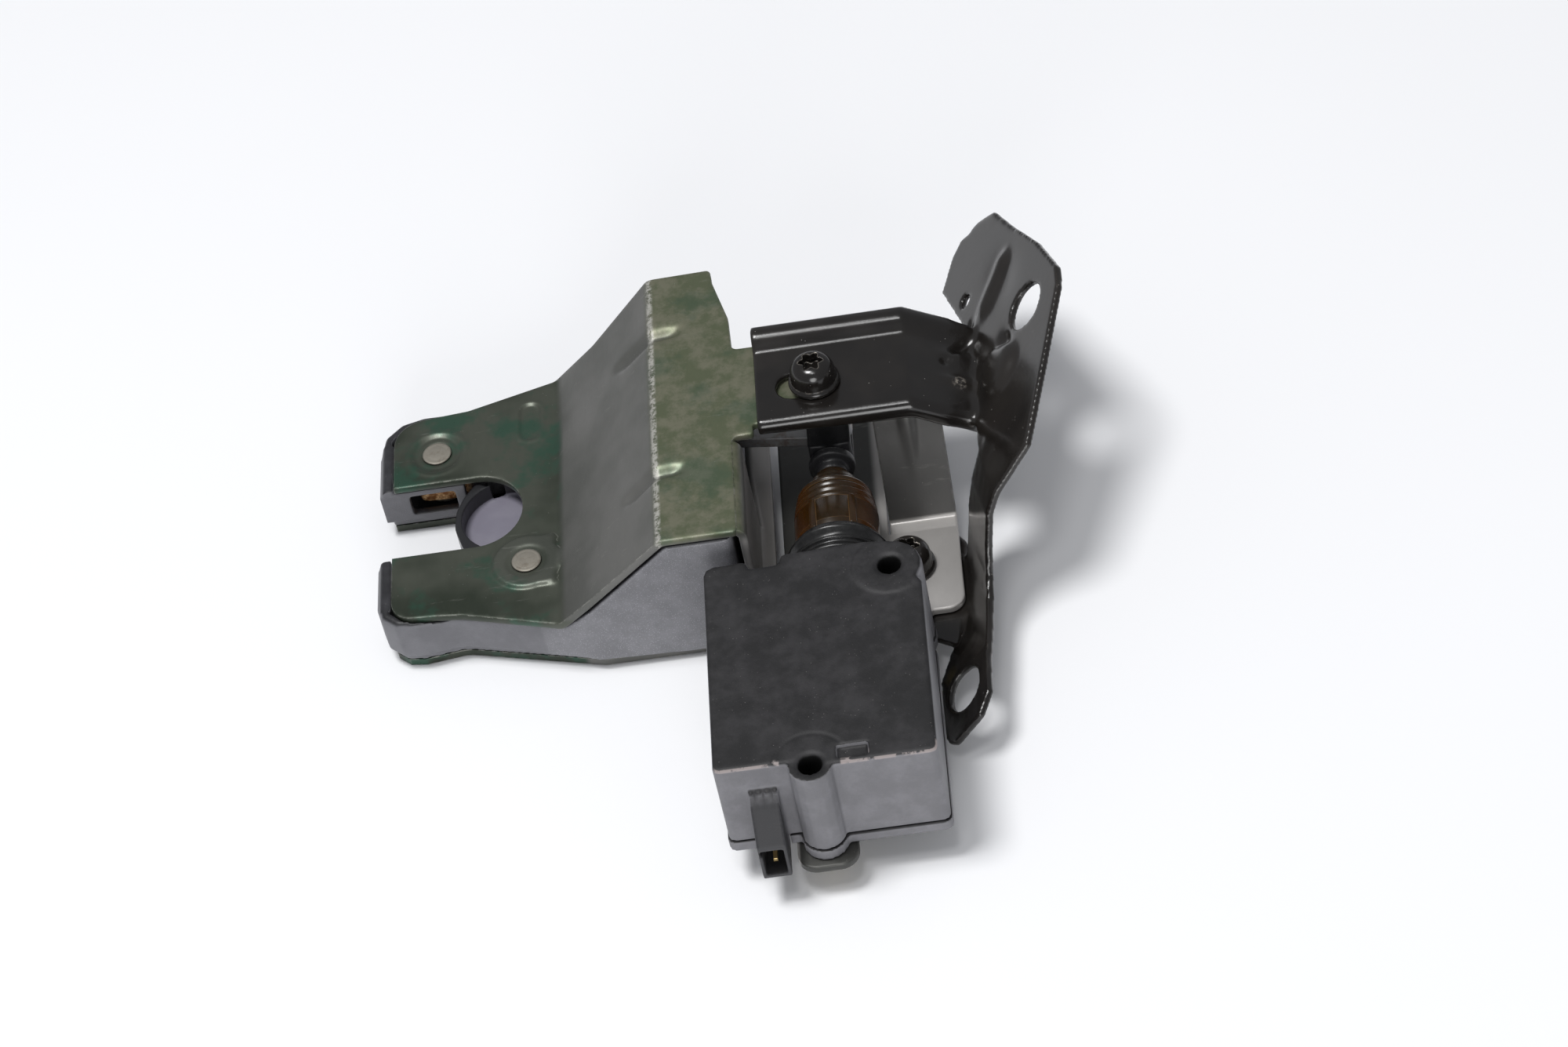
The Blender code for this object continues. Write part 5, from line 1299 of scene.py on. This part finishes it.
# %% Small pieces
def fine_small(node, slot, size, rounds, finish=None):
    made = skin_of(node, node + "_skin", size, rounds)
    return place(thinned(made, 0.5), slot, node, sharp=45, finish=finish)


fine_small("actuator_base", "cover_plastic", 0.45, 2)
fine_small("release_yoke", "black_plastic", 0.3, 2, "yoke")
fine_small("claw", "catch_jacket", 0.3, 3)
fine_small("pawl", "greased_steel", 0.25, 3)

# %% [markdown]
# ## Rivets
#
# A rivet's head is steel that a press has peened over, so it is a low disc with a faint rim and a
# shallow dish. It is turned as the other round pieces are, and joined to the skin of the rivet's solid.

# %% Rivets
def fine_rivet(node, level):
    """The rivet with its peened head, a low disc that spreads over the plate at this level."""
    made = skin_of(node, node + "_skin", 0.22, 2)
    profile = [(0.0, -0.6), (2.6, -0.6), (3.3, 0), (3.55, 0.08), (3.6, 0.22), (3.5, 0.36), (3.2, 0.42),
               (2.7, 0.36), (2.2, 0.42), (1.0, 0.48), (0.0, 0.44)]
    head = [(radius, level + height) for radius, height in profile]
    combined(made, "UNION", turned("head", head, middle_of(node), steps=56))
    return place(made, "rivet_steel", node, sharp=45)


fine_rivet("claw_rivet", 17.5)
fine_rivet("pawl_rivet", 16.6)

# %% [markdown]
# ## The table
#
# The lock lies on a plain pale table with a faint cloud in its colour. The table is large, so that its
# edge stays out of sight from low angles too, and it sits a hair below the lock, because two faces at
# the same height would flicker.

# %% The table
def table():
    f = Finish("table", IOR=1.4)
    tone = f.mixed(f.noise(6, 2, 0.4), (0.9, 0.905, 0.92), (0.92, 0.925, 0.94))
    bm = bmesh.new()
    bmesh.ops.create_grid(bm, x_segments=1, y_segments=1, size=3.0)
    top = object_from("table", bm)
    top.data.materials.append(f.wear(Base_Color=tone, Roughness=0.5))
    top.location.z = cad_box[0][2] - 0.0002


table()
print("table laid at z =", round(cad_box[0][2], 5))

# %% [markdown]
# ## Light
#
# Three round lamps light the lock softly. The key lamp hangs high to the west and gives the shadows
# their side, a weak one above the south side lifts the level faces, and a low broad one in front
# reaches the upright walls. The world adds a dim, slightly blue light from everywhere, which black
# gloss mirrors.

# %% Light
def soft_light(name, position, target, size, power):
    lamp = bpy.data.lights.new(name, "AREA")
    lamp.shape = "DISK"
    lamp.size = size
    lamp.energy = power
    holder = linked(name, lamp)
    holder.location = position
    holder.rotation_euler = (Vector(target) - Vector(position)).to_track_quat("-Z", "Y").to_euler()


soft_light("key", (-0.4, -0.12, 2.0), (0.04, 0.0, 0.02), 0.6, 27.0)
soft_light("top", (0.06, -0.62, 2.0), (0.08, 0.0, 0.03), 0.4, 5.0)
soft_light("low", (0.1, -1.9, 0.55), (0.04, 0.0, 0.02), 1.0, 14.0)

world = bpy.data.worlds.new("studio")
bpy.context.scene.world = world
world.use_nodes = True
back = world.node_tree.nodes["Background"]
back.inputs["Color"].default_value = (0.93, 0.95, 1.0, 1.0)
back.inputs["Strength"].default_value = 0.3

# %% [markdown]
# ## Camera
#
# The camera's place and lens were worked out from the edges of the motor unit and the plates, whose
# real directions are known, so parallel edges run together in the picture as they should. The colours
# are shown by the Standard transform, which leaves them as they are.

# %% Camera
lens = bpy.data.cameras.new("camera")
lens.lens = 99.25
lens.sensor_width = 36.0
lens.clip_end = 20.0
camera = linked("camera", lens)
camera.location = (0.14083, -0.70389, 0.75914)
camera.rotation_euler = (radians(43.0118), radians(8.6255), radians(-2.7619))
bpy.context.scene.camera = camera
bpy.context.scene.view_settings.view_transform = "Standard"
print("camera at", tuple(round(v, 3) for v in camera.location))

# %% [markdown]
# ## Sizes
#
# A finer piece must not make the lock bigger.
